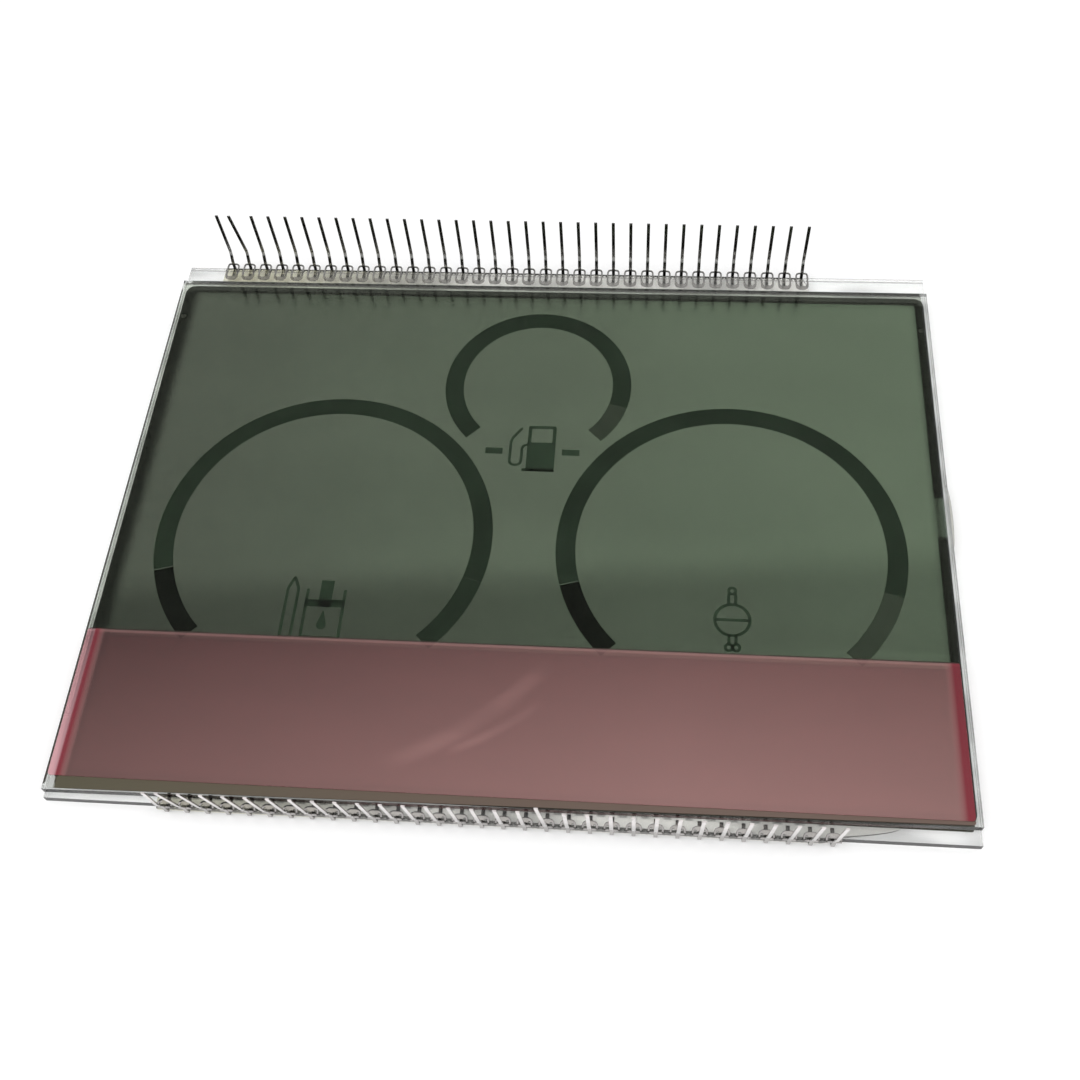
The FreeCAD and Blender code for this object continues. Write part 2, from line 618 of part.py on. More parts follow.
def clip_features(body, x, reach, lean=None):
    """Ring, tongue and outward step of one clip at a place along X, with a leg in the same strip if it leans
    only outwards or inwards. Returns the features in order."""
    ring = clip_sketch(body, f"{body.Name}_ring", x)
    window = clip_sketch(body, f"{body.Name}_window", x)
    shoulders = body_sketch(body, f"{body.Name}_shoulders", role="XZ_Plane",
                            level=f"-({SHEET_IN} + {SHEET_OUT}) / 2")
    tongue = clip_sketch(body, f"{body.Name}_tongue", x)
    draw(ring, hook_corners(reach, LEDGE_LEVEL, f"({LEDGE_LEVEL} + sizes.pin_stock)"))
    draw(window, box_corners(f"{HALF_DEPTH} - {reach} + sizes.tine_width", f"{LEDGE_LEVEL} - sizes.pin_stock",
                             f"{SHEET_OUT} + sizes.pin_stock", f"{RING_TOP} - sizes.tine_width"))
    for sign in "-+":
        side = f"({x} {sign} sizes.ring_width / 2)"
        draw(shoulders, [(side, f"{RING_TOP} - sizes.ring_shoulder"), (side, RING_TOP),
                         (f"({x} {sign} (sizes.ring_width / 2 - sizes.ring_shoulder))", RING_TOP)])
    corners = hook_corners("sizes.tongue_reach", f"({FRONT_FACE} - sizes.pin_stock)", FRONT_FACE)
    corners.append((STEP_OUT, STEP_TOP))
    if lean:
        rise = f"(sizes.leg_length * cos({lean} * 1 deg))"
        out = f"(sizes.leg_length * sin({lean} * 1 deg))"
        corners += [(f"{STEP_OUT} + {out}", f"{STEP_TOP} + {rise}"),
                    (f"{STEP_IN} + {out}", f"{STEP_TOP} + {rise}")]
    corners.append((STEP_IN, STEP_TOP))
    draw(tongue, corners)
    return [pad(body, ring, "sizes.ring_width", both_ways=True),
            pocket(body, window, "sizes.ring_width - 2 * sizes.tine_width", both_ways=True),
            pocket(body, shoulders, "2 * sizes.pin_stock", both_ways=True),
            pad(body, tongue, "sizes.leg_width", both_ways=True)]


def pin_row(label, start, count, reach, lean, turned=False):
    """A stretch of like clips at the pin pitch. The lower edge's stretches are turned half round."""
    body = new_body(label)
    features = clip_features(body, start, reach, lean)
    pattern = body.newObject("PartDesign::LinearPattern", f"{label}_pattern")
    pattern.TransformMode = "Whole shape"
    pattern.Originals = features
    pattern.Direction = (origin_feature(body, "X_Axis"), [""])
    pattern.setExpression("Occurrences", count)
    pattern.setExpression("Length", f"sizes.pin_pitch * ({count} - 1)")
    body.Tip = pattern
    if turned:
        body.Placement = FreeCAD.Placement(V(0, 0, 0), FreeCAD.Rotation(V(0, 0, 1), 180))
    return body


def bent_pin(label, x, reach, lean, tilt, turned=False):
    """One clip whose leg is also bent sideways, towards -X where tilt is positive."""
    clip = new_body(f"{label}_clip")
    clip_features(clip, x, reach)
    leg = doc.addObject("Part::Box", f"{label}_leg")
    leg.setExpression("Length", "sizes.leg_width")
    leg.setExpression("Width", "sizes.pin_stock")
    leg.setExpression("Height", "sizes.leg_length + sizes.pin_stock")
    turn = FreeCAD.Rotation(V(0, 1, 0), -value_of(tilt)) * FreeCAD.Rotation(V(1, 0, 0), -value_of(lean))
    foot = V(value_of(x), value_of(STEP_IN), value_of(f"{STEP_TOP} - sizes.pin_stock"))
    leg.Placement = FreeCAD.Placement(foot + turn.multVec(V(-value_of("sizes.leg_width / 2"), 0, 0)), turn)
    whole = fuse(label, [clip, leg])
    if turned:
        whole.Placement = FreeCAD.Placement(V(0, 0, 0), FreeCAD.Rotation(V(0, 0, 1), 180))
    return whole


def along_row(start, number):
    return f"({start} + sizes.pin_pitch * {number})"


def upper_pins():
    start = "sizes.upper_row_start"
    reach, lean = "sizes.upper_ring_reach", "sizes.upper_lean"
    return [bent_pin("upper_pin_first", along_row(start, 0), reach, lean, "sizes.first_pin_tilt"),
            bent_pin("upper_pin_second", along_row(start, 1), reach, lean, "sizes.second_pin_tilt"),
            pin_row("upper_pins", along_row(start, 2), "(sizes.upper_pin_count - 2)", reach, lean)]


def lower_pins():
    """The lower clips, drawn at the upper edge with X reversed and turned half round."""
    start = "sizes.lower_row_start"
    reach, lean = "sizes.lower_ring_reach", "sizes.lower_lean"
    bent = "sizes.lower_bent_index"
    left_end = f"(-{along_row(start, f'({bent} - 1)')})"
    right_end = f"(-{along_row(start, '(sizes.lower_pin_count - 1)')})"
    return [pin_row("lower_pins_left", left_end, bent, reach, lean, turned=True),
            bent_pin("lower_pin_bent", f"(-{along_row(start, bent)})", reach, "sizes.bent_pin_lean",
                     "-sizes.bent_pin_tilt", turned=True),
            pin_row("lower_pins_right", right_end, f"(sizes.lower_pin_count - 1 - {bent})", reach, lean,
                    turned=True)]


# Clear resin that holds the clips

def cut_notches(body, start, count, edge, end):
    """Room for the clips' rings in a bead, straight down to the ledge, at the pin pitch.

    edge and end are the two ends of a notch along Y, the lower one first.
    """
    sketch = body_sketch(body, f"{body.Name}_notch", level=LEDGE_LEVEL)
    draw(sketch, box_corners(f"{start} - sizes.ring_width / 2", edge, f"{start} + sizes.ring_width / 2", end))
    notch = pocket(body, sketch, "4 * sizes.resin_height", both_ways=True)
    pattern = body.newObject("PartDesign::LinearPattern", f"{body.Name}_notches")
    pattern.Originals = [notch]
    pattern.Direction = (origin_feature(body, "X_Axis"), [""])
    pattern.setExpression("Occurrences", count)
    pattern.setExpression("Length", f"sizes.pin_pitch * ({count} - 1)")
    body.Tip = pattern


def upper_resin():
    """A fillet of resin from the rear glass down to the front glass edge."""
    first, count = "sizes.upper_row_start", "sizes.upper_pin_count"
    start = f"({first} - sizes.resin_end_margin)"
    end = f"({along_row(first, f'({count} - 1)')} + sizes.resin_end_margin)"
    body = new_body("upper_resin")
    sketch = body_sketch(body, "upper_resin_section", role="YZ_Plane", level=start)
    draw(sketch, [(REAR_TOP, LEDGE_LEVEL), (HALF_DEPTH, LEDGE_LEVEL),
                  (HALF_DEPTH, f"{LEDGE_LEVEL} + sizes.resin_lip"),
                  (REAR_TOP, f"{LEDGE_LEVEL} + sizes.resin_height")])
    pad(body, sketch, f"{end} - {start}")
    cut_notches(body, first, count, f"{HALF_DEPTH} - sizes.upper_ring_reach", HALF_DEPTH)
    return body


def lower_resin():
    """The lower bead, with the smear that runs on beyond the last pin."""
    first, count = "sizes.lower_row_start", "sizes.lower_pin_count"
    start = f"({first} - sizes.resin_end_margin)"
    end = f"({along_row(first, f'({count} - 1)')} + sizes.resin_end_margin)"
    tail_end = f"({end} + sizes.resin_tail)"
    edge = f"(-{HALF_DEPTH})"
    body = new_body("lower_resin")
    sketch = body_sketch(body, "lower_resin_outline", level=LEDGE_LEVEL)
    draw(sketch, [(start, edge), (end, edge), (end, rear_bottom_at(end)), (start, rear_bottom_at(start))])
    pad(body, sketch, "sizes.resin_lip")
    tail = body_sketch(body, "lower_resin_smear", level=LEDGE_LEVEL)
    draw(tail, [(end, edge), (f"{tail_end} - sizes.resin_tail_slant", edge),
                (tail_end, rear_bottom_at(tail_end)), (end, rear_bottom_at(end))])
    pad(body, tail, "sizes.resin_tail_height")
    cut_notches(body, first, count, edge, f"{edge} + sizes.lower_ring_reach")
    return body


# The whole panel

dots = transfer_dots()
electrodes = gauge("left_gauge", f"-{GAUGE_X}", GAUGE_Y, GAUGE_RADIUS)
electrodes += gauge("right_gauge", GAUGE_X, GAUGE_Y, GAUGE_RADIUS)
electrodes += gauge("fuel_gauge", "0", FUEL_Y, "sizes.fuel_radius", low_left=False)
electrodes += [pump_pictogram(), range_dash("left_dash", "sizes.left_dash_x"),
               range_dash("right_dash", "sizes.right_dash_x"), probe_pictogram(), tank_pictogram(),
               drop_pictogram(), float_pictogram()]
crystal = cut("liquid_crystal", liquid_crystal_block(), group("electrode_layer", electrodes))
upper = upper_pins()
lower = lower_pins()
subparts = [front_polariser(), front_glass(), seal_frame(dots), dots, end_seal(), crystal,
            rear_glass(), rear_polariser(), red_film(), upper_resin(), lower_resin()]
subparts += electrodes + upper + lower
doc.recompute()

failed = [item.Name for item in doc.Objects if {"Invalid", "Error"} & set(item.State)]
failed += [item.Label for item in subparts if item.Shape.isNull() or not item.Shape.isValid()]
if failed:
    raise RuntimeError(f"these objects failed: {sorted(set(failed))}")
for item in subparts:
    item.Shape.exportStep(f"parts/{item.Label}.step")
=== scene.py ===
"""Segment LCD glass panel: finishes, fine pieces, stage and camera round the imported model.

Metres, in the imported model's frame: the panel lies face down, X runs along the pin rows and +Z is the rear.
"""
import math
import bmesh
import bpy
import numpy as np
from mathutils import Matrix, Vector


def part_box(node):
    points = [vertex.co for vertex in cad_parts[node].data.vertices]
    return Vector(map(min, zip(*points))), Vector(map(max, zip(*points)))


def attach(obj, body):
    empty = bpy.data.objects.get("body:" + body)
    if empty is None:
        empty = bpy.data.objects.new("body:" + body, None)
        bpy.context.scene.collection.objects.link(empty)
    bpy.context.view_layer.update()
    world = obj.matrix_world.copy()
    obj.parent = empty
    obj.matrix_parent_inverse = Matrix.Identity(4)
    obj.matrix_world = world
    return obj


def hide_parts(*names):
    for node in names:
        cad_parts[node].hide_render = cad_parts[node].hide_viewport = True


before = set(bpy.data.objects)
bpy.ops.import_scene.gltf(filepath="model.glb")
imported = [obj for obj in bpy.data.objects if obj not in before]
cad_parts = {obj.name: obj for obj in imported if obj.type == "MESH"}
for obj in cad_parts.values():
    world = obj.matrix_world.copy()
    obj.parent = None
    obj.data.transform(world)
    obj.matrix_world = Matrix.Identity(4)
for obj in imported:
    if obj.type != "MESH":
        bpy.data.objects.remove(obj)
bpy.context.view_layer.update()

bl_info = {
    "name": "LCD panel with clip pins",
    "version": (1, 0, 0),
    "blender": (4, 5, 0),
    "location": "View3D > Sidebar > LCD panel",
    "description": "Finishes, fine pieces and stage of a segment LCD glass panel",
    "category": "Object",
}

MM = 0.001
SKIN = 0.01 * MM  # how far a piece inside the cell reaches into the glass, so that no two faces share a plane


def corners_of(node):
    """Lowest and highest corner of a node of the model, as arrays."""
    low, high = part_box(node)
    return np.array(low), np.array(high)


GLASS_HIGH = corners_of("front_glass")[1]
REAR_HIGH = corners_of("rear_glass")[1]
SHEET_HIGH = corners_of("rear_polariser")[1]
FILM_LOW, FILM_HIGH = corners_of("red_film")
CELL_LOW, CELL_HIGH = corners_of("liquid_crystal")
SEAL_LOW, SEAL_HIGH = corners_of("seal_frame")
LEDGE = GLASS_HIGH[2]  # level of the ledges that the clips fold over
EDGE = GLASS_HIGH[1]  # place along Y of the front glass's upper edge; the lower one lies at its negative
PORT_LOW, PORT_HIGH = -2.0 * MM, 4.0 * MM  # ends of the fill port along Y
SEGMENT_LOW, SEGMENT_HIGH = CELL_LOW[2] - 2 * SKIN, CELL_HIGH[2] + 2 * SKIN
PIN_SMOOTHING, RESIN_SMOOTHING = 35, 60  # largest angle, in degrees, that is shaded as a curve


# Properties

def length(name, description, millimetres):
    return bpy.props.FloatProperty(name=name, description=description, default=millimetres * MM, min=0,
                                   precision=5, unit="LENGTH")


def position(name, description, millimetres):
    return bpy.props.FloatProperty(name=name, description=description, default=millimetres * MM, precision=5,
                                   unit="LENGTH")


def amount(name, description, pieces):
    return bpy.props.IntProperty(name=name, description=description, default=pieces, min=0)


def angle(name, description, degrees):
    return bpy.props.FloatProperty(name=name, description=description, default=math.radians(degrees),
                                   subtype="ANGLE")


def factor(name, description, value):
    return bpy.props.FloatProperty(name=name, description=description, default=value, min=0, max=1,
                                   subtype="FACTOR")


def colour(name, description, red, green, blue):
    return bpy.props.FloatVectorProperty(name=name, description=description, default=(red, green, blue),
                                         size=3, min=0, max=1, subtype="COLOR")


class PinSizes(bpy.types.PropertyGroup):
    pitch: length("Pitch", "Spacing of the pins", 2.54)
    upper_start: position("Upper start", "First upper pin along X", -48.67)
    upper_count: amount("Upper pins", "Pins on the upper edge", 35)
    lower_start: position("Lower start", "First lower pin along X", -40.18)
    lower_count: amount("Lower pins", "Pins on the lower edge", 32)
    bent_place: amount("Bent pin", "Place of the bent pin in the lower row", 18)
    stock: length("Stock", "Sheet thickness of the clips", 0.2)
    leg_width: length("Leg width", "Width of a leg and of its tongue", 0.46)
    leg_step: length("Leg step", "How far the step in a leg sets it outwards", 0.5)
    leg_step_height: length("Leg step height", "Height of the step in a leg", 1.75)
    leg_length: length("Leg length", "Leg above its step", 7.7)
    leg_fall: length("Leg fall", "How much lower the last upper leg ends than the first", 0.65)
    ring_width: length("Ring width", "Clip's ring across", 1.9)
    tine_width: length("Tine width", "Strip that the ring is made of", 0.25)
    ring_height: length("Ring height", "Top of the ring above the ledge", 0.5)
    foot_height: length("Foot height", "Foot of the leg above the ledge", 0.75)
    upper_reach: length("Upper reach", "Ring over the upper ledge", 2.3)
    lower_reach: length("Lower reach", "Ring over the lower ledge", 0.6)
    tongue_reach: length("Tongue reach", "Tongue under the front glass", 1.5)
    stand: length("Stand", "Glass edge to the clip's upright sheet", 0.45)
    upper_lean: angle("Upper lean", "Outward lean of the upper legs", -1.0)
    lower_lean: angle("Lower lean", "Outward lean of the lower legs", 9.0)
    bent_lean: angle("Bent lean", "Outward lean of the bent lower leg", 5.4)
    upper_first_tilt: angle("First upper tilt", "Tilt of the first upper leg along the row", 1.0)
    upper_second_tilt: angle("Second upper tilt", "Tilt of the second upper leg along the row", 6.4)
    lower_first_tilt: angle("First lower tilt", "Tilt of the first lower leg along the row", 7.5)
    bent_tilt: angle("Bent tilt", "Tilt of the bent lower leg along the row", -4.2)


class GaugeSizes(bpy.types.PropertyGroup):
    band_width: length("Band width", "Radial width of every gauge band", 2.6)
    band_gap: length("Band gap", "Gap between two segments of a band", 0.14)
    band_start: angle("Band start", "Angle where each band ends at the lower right", -45.0)
    band_end: angle("Band end", "Angle where each band ends at the lower left", 225.0)
    low_span: angle("Low segment", "Angle of the low segment at either end of a band", 29.0)
    line: length("Line", "Line width of the small pictograms", 0.4)
    hose_line: length("Hose line", "Line width of the pump's hose", 0.38)


class PanelColours(bpy.types.PropertyGroup):
    glass: colour("Rear glass", "Tint of the rear glass plate", 0.93, 0.942, 0.932)
    front_glass: colour("Front glass", "Tint of the front glass plate", 0.89, 0.895, 0.89)
    # The field's left and right tones differ by a painted reflection: paler to the right.
    panel_left: colour("Panel, left", "Unlit field at the left", 0.19, 0.205, 0.184)
    panel_right: colour("Panel, right", "Unlit field at the right", 0.295, 0.362, 0.29)
    segment: colour("Segment", "Gauge bands and pictograms", 0.026, 0.042, 0.029)
    low_segment: colour("Low segment", "Darkest segments", 0.001, 0.002, 0.001)
    seal: colour("Seal line", "Seal between the plates", 0.02, 0.022, 0.018)
    seal_top: colour("Seal line, top", "Top run of the seal", 0.1, 0.105, 0.095)
    polariser: colour("Rear polariser", "Tint of each face of the rear polariser", 0.81, 0.825, 0.79)
    crossed: colour("Front polariser", "Tint of each face of the crossed front polariser", 0.42, 0.42, 0.38)
    film: colour("Red film", "What each face of the red film lets through", 0.88, 0.62, 0.66)
    film_body: colour("Red film's body", "What the red film scatters back", 0.75, 0.5, 0.46)
    film_end: colour("Red film's ends", "What the film scatters over the seal", 0.36, 0.06, 0.082)
    resin: colour("Resin", "Clear resin round the clips", 0.985, 0.98, 0.965)
    port_resin: colour("Port resin", "Resin drop over the fill port", 0.78, 0.78, 0.75)
    aged_resin: colour("Resin, left", "Resin at the left ends of both rows", 0.86, 0.85, 0.77)
    margin: colour("Polariser margin", "Rear polariser below the red film", 0.17, 0.125, 0.105)
    # The tin tones are one plating, painted shaded on the upper row and lit on the lower row as painted
    # reflections.
    shaded_leg_tin: colour("Tin, upper legs", "Dulled plating of the upper legs", 0.14, 0.135, 0.13)
    tin: colour("Tin, upper clips", "Plating of the upper clips", 0.27, 0.265, 0.255)
    lit_leg_tin: colour("Tin, lower legs", "Plating of the lower legs' ends", 0.8, 0.75, 0.74)
    lit_clip_tin: colour("Tin, lower clips", "Plating of the lower clips", 0.46, 0.44, 0.43)
    silver: colour("Silver adhesive", "Conductive dots between the plates", 0.05, 0.05, 0.045)


class StageSettings(bpy.types.PropertyGroup):
    floor: factor("Floor", "Brightness of the floor", 0.8)
    glow: factor("Floor's glow", "Own light of the floor, where it is seen directly", 0.22)
    sky: factor("Sky", "Share of the light that comes from all round", 0.7)


# Meshes

def grid_faces(rows, columns, wrap_rows=False, wrap_columns=False):
    """Quads between neighbours on a grid of points numbered row by row."""
    across = np.arange(rows if wrap_rows else rows - 1)[:, None]
    along = np.arange(columns if wrap_columns else columns - 1)[None, :]
    next_row, next_column = (across + 1) % rows, (along + 1) % columns
    corners = [across * columns + along, across * columns + next_column,
               next_row * columns + next_column, next_row * columns + along]
    return np.stack(np.broadcast_arrays(*corners), -1).reshape(-1, 4)


def tube(points, closed=False):
    """A grid of points as a part, each row a closed section. A tube that isn't closed into a ring gets a
    flat face at either end."""
    rows, columns = points.shape[:2]
    faces = grid_faces(rows, columns, closed, True).tolist()
    if not closed:
        faces += [list(range(columns)), list(range((rows - 1) * columns, rows * columns))]
    return points.reshape(-1, 3), faces


def carried(path, across, upward, profile, closed=False):
    """A profile carried along a path.

    Each point is the path's point plus the profile's first number times the direction across the path
    and its second number times the upward direction.
    """
    return tube(path[:, None, :] + profile[None, :, 0, None] * across[:, None, :]
                + profile[None, :, 1, None] * upward[:, None, :], closed)


def across_of(path, closed=False):
    """Unit directions across a path in the XY plane: its own direction, turned a quarter clockwise."""
    ahead = np.roll(path, -1, 0) - np.roll(path, 1, 0) if closed else np.gradient(path, axis=0)
    ahead = ahead / np.linalg.norm(ahead, axis=1, keepdims=True)
    return np.stack([ahead[:, 1], -ahead[:, 0]], 1)


def round_angles(count):
    """Evenly spaced angles round a circle."""
    return np.linspace(0, 2 * math.pi, count + 1)[:-1]


def rounded(corners, radius, closed=False, steps=7):
    """A line through corners, each corner replaced by a parabola that starts and ends a radius away from it.

    A point of the parabola is the square mix of its two ends and the corner: (1-t)(1-t)A + 2t(1-t)C + ttB.
    """
    corners = np.array(corners, float)
    count = len(corners)
    radii = np.broadcast_to(np.array(radius, float), (count,))
    t = np.linspace(0, 1, steps)[:, None]
    line = []
    for place in range(count):
        corner = corners[place]
        if not closed and place in (0, count - 1):
            line.append(corner[None])
            continue
        before, after = corners[place - 1] - corner, corners[(place + 1) % count] - corner
        start = corner + before / np.linalg.norm(before) * radii[place]
        end = corner + after / np.linalg.norm(after) * radii[place]
        line.append((1 - t) ** 2 * start + 2 * t * (1 - t) * corner + t ** 2 * end)
    return np.concatenate(line)


def evenly(line, count):
    """Points at even distances along a closed line."""
    ends = np.concatenate([line, line[:1]])
    travelled = np.concatenate([[0], np.cumsum(np.linalg.norm(np.diff(ends, axis=0), axis=1))])
    places = np.linspace(0, travelled[-1], count + 1)[:-1]
    return np.stack([np.interp(places, travelled, ends[:, axis]) for axis in range(line.shape[1])], 1)


def slab(outline, low, high, edge=0.0):
    """An outline carried upwards, drawn in by a 45 degree edge next to both of its flat faces."""
    outward = across_of(outline, closed=True)
    rises = [(low, edge), (low + edge, 0), (high - edge, 0), (high, edge)] if edge else [(low, 0), (high, 0)]
    return tube(np.array([np.column_stack([outline - outward * inset, np.full(len(outline), level)])
                          for level, inset in rises]))


def rectangle(left, bottom, right, top, radius=0.0):
    """An anticlockwise rectangle, its corners rounded."""
    corners = [(left, bottom), (right, bottom), (right, top), (left, top)]
    return rounded(corners, radius, closed=True) if radius else np.array(corners, float)


def flat_line(line, across, inner, outer, low, high, closed=False):
    """A flat strip: a rectangle between two distances across a line, carried along the line."""
    path = np.column_stack([line, np.full(len(line), low)])
    flat = np.column_stack([across, np.zeros(len(line))])
    profile = np.array([(inner, 0), (outer, 0), (outer, high - low), (inner, high - low)])
    return carried(path, flat, np.tile([0.0, 0.0, 1.0], (len(line), 1)), profile, closed)


def stroke(corners, width, low, high, radius, closed=False):
    """A flat line of even width along a rounded line."""
    line = rounded(corners, radius, closed)
    return flat_line(line, across_of(line, closed), -width / 2, width / 2, low, high, closed)


def sector(centre, radius, width, start, end, low, high):
    """Part of a flat ring, along an arc round the centre."""
    angles = np.linspace(start, end, max(int((end - start) / math.radians(2.5)), 8))
    spoke = np.column_stack([np.cos(angles), np.sin(angles)])
    return flat_line(np.array(centre) + spoke * radius, spoke, -width, 0.0, low, high)


def repeated(part, offsets):
    """Copies of one part at a list of offsets, as one part."""
    points, faces = part
    count = len(points)
    places = (points[None] + np.array(offsets, float)[:, None, :]).reshape(-1, 3)
    return places, [[index + count * number for index in face] for number in range(len(offsets))
                    for face in faces]


def half_turned(part):
    """A part turned half round the Z axis."""
    points, faces = part
    return points * np.array([-1.0, -1.0, 1.0]), faces


def piece(name, parts, material, replaced, smooth=0.0, places=None):
    """One object from several parts. smooth is the largest angle, in degrees, that is shaded as a curve, and
    places holds one pair of map coordinates for each point."""
    points, faces, first = [], [], 0
    for part_points, part_faces in parts:
        points.append(part_points)
        faces += [[index + first for index in face] for face in part_faces]
        first += len(part_points)
    mesh = bpy.data.meshes.new(name)
    mesh.from_pydata(np.concatenate(points).tolist(), [], faces)
    work = bmesh.new()
    work.from_mesh(mesh)
    bmesh.ops.recalc_face_normals(work, faces=work.faces)
    for edge in work.edges:
        edge.smooth = len(edge.link_faces) == 2 and edge.calc_face_angle(0) < math.radians(smooth)
    for face in work.faces:
        face.smooth = smooth > 0
    work.to_mesh(mesh)
    work.free()
    if places is not None:
        corners = np.empty(len(mesh.loops), int)
        mesh.loops.foreach_get("vertex_index", corners)
        mesh.uv_layers.new(name="UVMap").data.foreach_set("uv", places[corners].ravel())
    mesh.materials.append(material)
    item = bpy.data.objects.new(name, mesh)
    bpy.context.scene.collection.objects.link(item)
    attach(item, "root")
    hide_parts(*replaced)


# Materials

def rgba(values):
    return (*values, 1.0)


def shade(values, times):
    return tuple(value * times for value in values)


class Recipe:
    """Shader nodes under construction, with short calls for the ones that the finishes use. Wherever a call
    takes a value, it also takes another node's output."""

    def __init__(self, name, kind="Material"):
        library = bpy.data.worlds if kind == "World" else bpy.data.materials
        self.owner = library.new(name)
        self.owner.use_nodes = True
        self.tree = self.owner.node_tree
        self.tree.nodes.clear()
        self.output = self.tree.nodes.new(f"ShaderNodeOutput{kind}")

    def add(self, kind, inputs=None, **settings):
        """A node with its settings and inputs."""
        node = self.tree.nodes.new(f"ShaderNode{kind}")
        for key, value in settings.items():
            setattr(node, key, value)
        for key, value in (inputs or {}).items():
            if isinstance(value, bpy.types.NodeSocket):
                self.tree.links.new(value, node.inputs[key])
            else:
                node.inputs[key].default_value = value
        return node

    def place(self, turn=0.0, stretch=(1, 1, 1)):
        """Object coordinates, turned about Z and stretched."""
        return self.add("Mapping", {"Vector": self.add("TexCoord").outputs["Object"],
                                    "Rotation": (0, 0, turn), "Scale": stretch}).outputs["Vector"]

    def axis(self, name, vector=None):
        vector = vector or self.add("TexCoord").outputs["Object"]
        return self.add("SeparateXYZ", {"Vector": vector}).outputs[name]

    def noise(self, vector, scale, detail=3.0):
        return self.add("TexNoise", {"Vector": vector, "Scale": scale, "Detail": detail}).outputs["Fac"]

    def ramp(self, value, low, high, from_low=0.0, from_high=1.0, smooth=False):
        """A number carried from one range to another and held at its ends."""
        return self.add("MapRange", {"Value": value, "From Min": from_low, "From Max": from_high,
                                     "To Min": low, "To Max": high},
                        interpolation_type="SMOOTHSTEP" if smooth else "LINEAR").outputs["Result"]

    def maths(self, operation, first, second=0.0):
        return self.add("Math", {0: first, 1: second}, operation=operation).outputs[0]

    def times(self, first, *others):
        """The product of all the numbers."""
        for other in others:
            first = self.maths("MULTIPLY", first, other)
        return first

    def plus(self, first, *others):
        """The sum of all the numbers."""
        for other in others:
            first = self.maths("ADD", first, other)
        return first

    def less(self, first, second):
        return self.maths("SUBTRACT", first, second)

    def most(self, first, *others):
        """The largest of all the numbers."""
        for other in others:
            first = self.maths("MAXIMUM", first, other)
        return first

    def blend(self, share, first, second, mode="MIX"):
        tones = [tone if isinstance(tone, bpy.types.NodeSocket) else rgba(tone) for tone in (first, second)]
        return self.add("Mix", {0: share, 6: tones[0], 7: tones[1]}, data_type="RGBA",
                        blend_type=mode).outputs[2]

    def bump(self, height, strength, distance):
        return self.add("Bump", {"Height": height, "Strength": strength,
                                 "Distance": distance}).outputs["Normal"]

    def grey(self, level):
        return self.add("CombineColor", {"Red": level, "Green": level, "Blue": level}).outputs[0]

    def surface(self, kind, tone, inputs=None):
        """A surface of one kind in one tone."""
        key = "Base Color" if kind == "Principled" else "Color"
        tone = tone if isinstance(tone, bpy.types.NodeSocket) else rgba(tone)
        return self.add(f"Bsdf{kind}", {key: tone, **(inputs or {})}).outputs["BSDF"]

    def mixed(self, share, first, second):
        return self.add("MixShader", {0: share, 1: first, 2: second}).outputs["Shader"]

    def seen_directly(self):
        """One for a ray from the camera, through glass or off a gloss, and nothing for the light itself."""
        path = self.add("LightPath").outputs
        return self.most(path["Is Camera Ray"], path["Is Transmission Ray"], path["Is Glossy Ray"])

    def done(self, shader):
        self.tree.links.new(shader, self.output.inputs["Surface"])
        return self.owner


def glass_finish(name, tint, ior, grey, edge_shade_from, edge_shade):
    """Clear plate glass with soft grey patches and painted shade along its upper edge, for refraction's dark
    rim.
    Lamps shine through it, and its surface has faint wipe marks."""
    r = Recipe(name)
    wipes = r.noise(r.place(0.5, (1, 9, 1)), 180, 2.0)
    patches = r.noise(r.place(0.0, (1, 2.5, 1)), 70, 1.0)
    tone = r.blend(r.ramp(patches, 0.0, 1.0, 0.35, 0.62, smooth=True), shade(tint, grey), tint)
    # Painted shade: the tint darkens in a line up to the upper edge, where refraction would show a dark rim.
    tone = r.blend(r.ramp(r.axis("Y"), 0.0, 1.0, edge_shade_from, edge_shade_from + 0.08 * MM), tone, shade(tint, edge_shade))
    glass = r.surface("Principled", tone, {"Transmission Weight": 1.0, "IOR": ior,
                                           "Roughness": r.ramp(wipes, 0.0, 0.035, 0.45, 0.8)})
    through = r.surface("Transparent", shade(tint, 0.96))
    return r.done(r.mixed(r.add("LightPath").outputs["Is Shadow Ray"], glass, through))


def gloss_over(r, under, roughness, level, normal=None):
    """Surface gloss by Fresnel over whatever lies under it, on the outside of a face only."""
    facing = {"Normal": normal} if normal else {}
    gloss = r.surface("Glossy", (1, 1, 1), {"Roughness": roughness, **facing})
    outside = r.less(1.0, r.add("NewGeometry").outputs["Backfacing"])
    return r.mixed(r.times(r.add("Fresnel", {"IOR": level, **facing}).outputs["Fac"], outside), under, gloss)


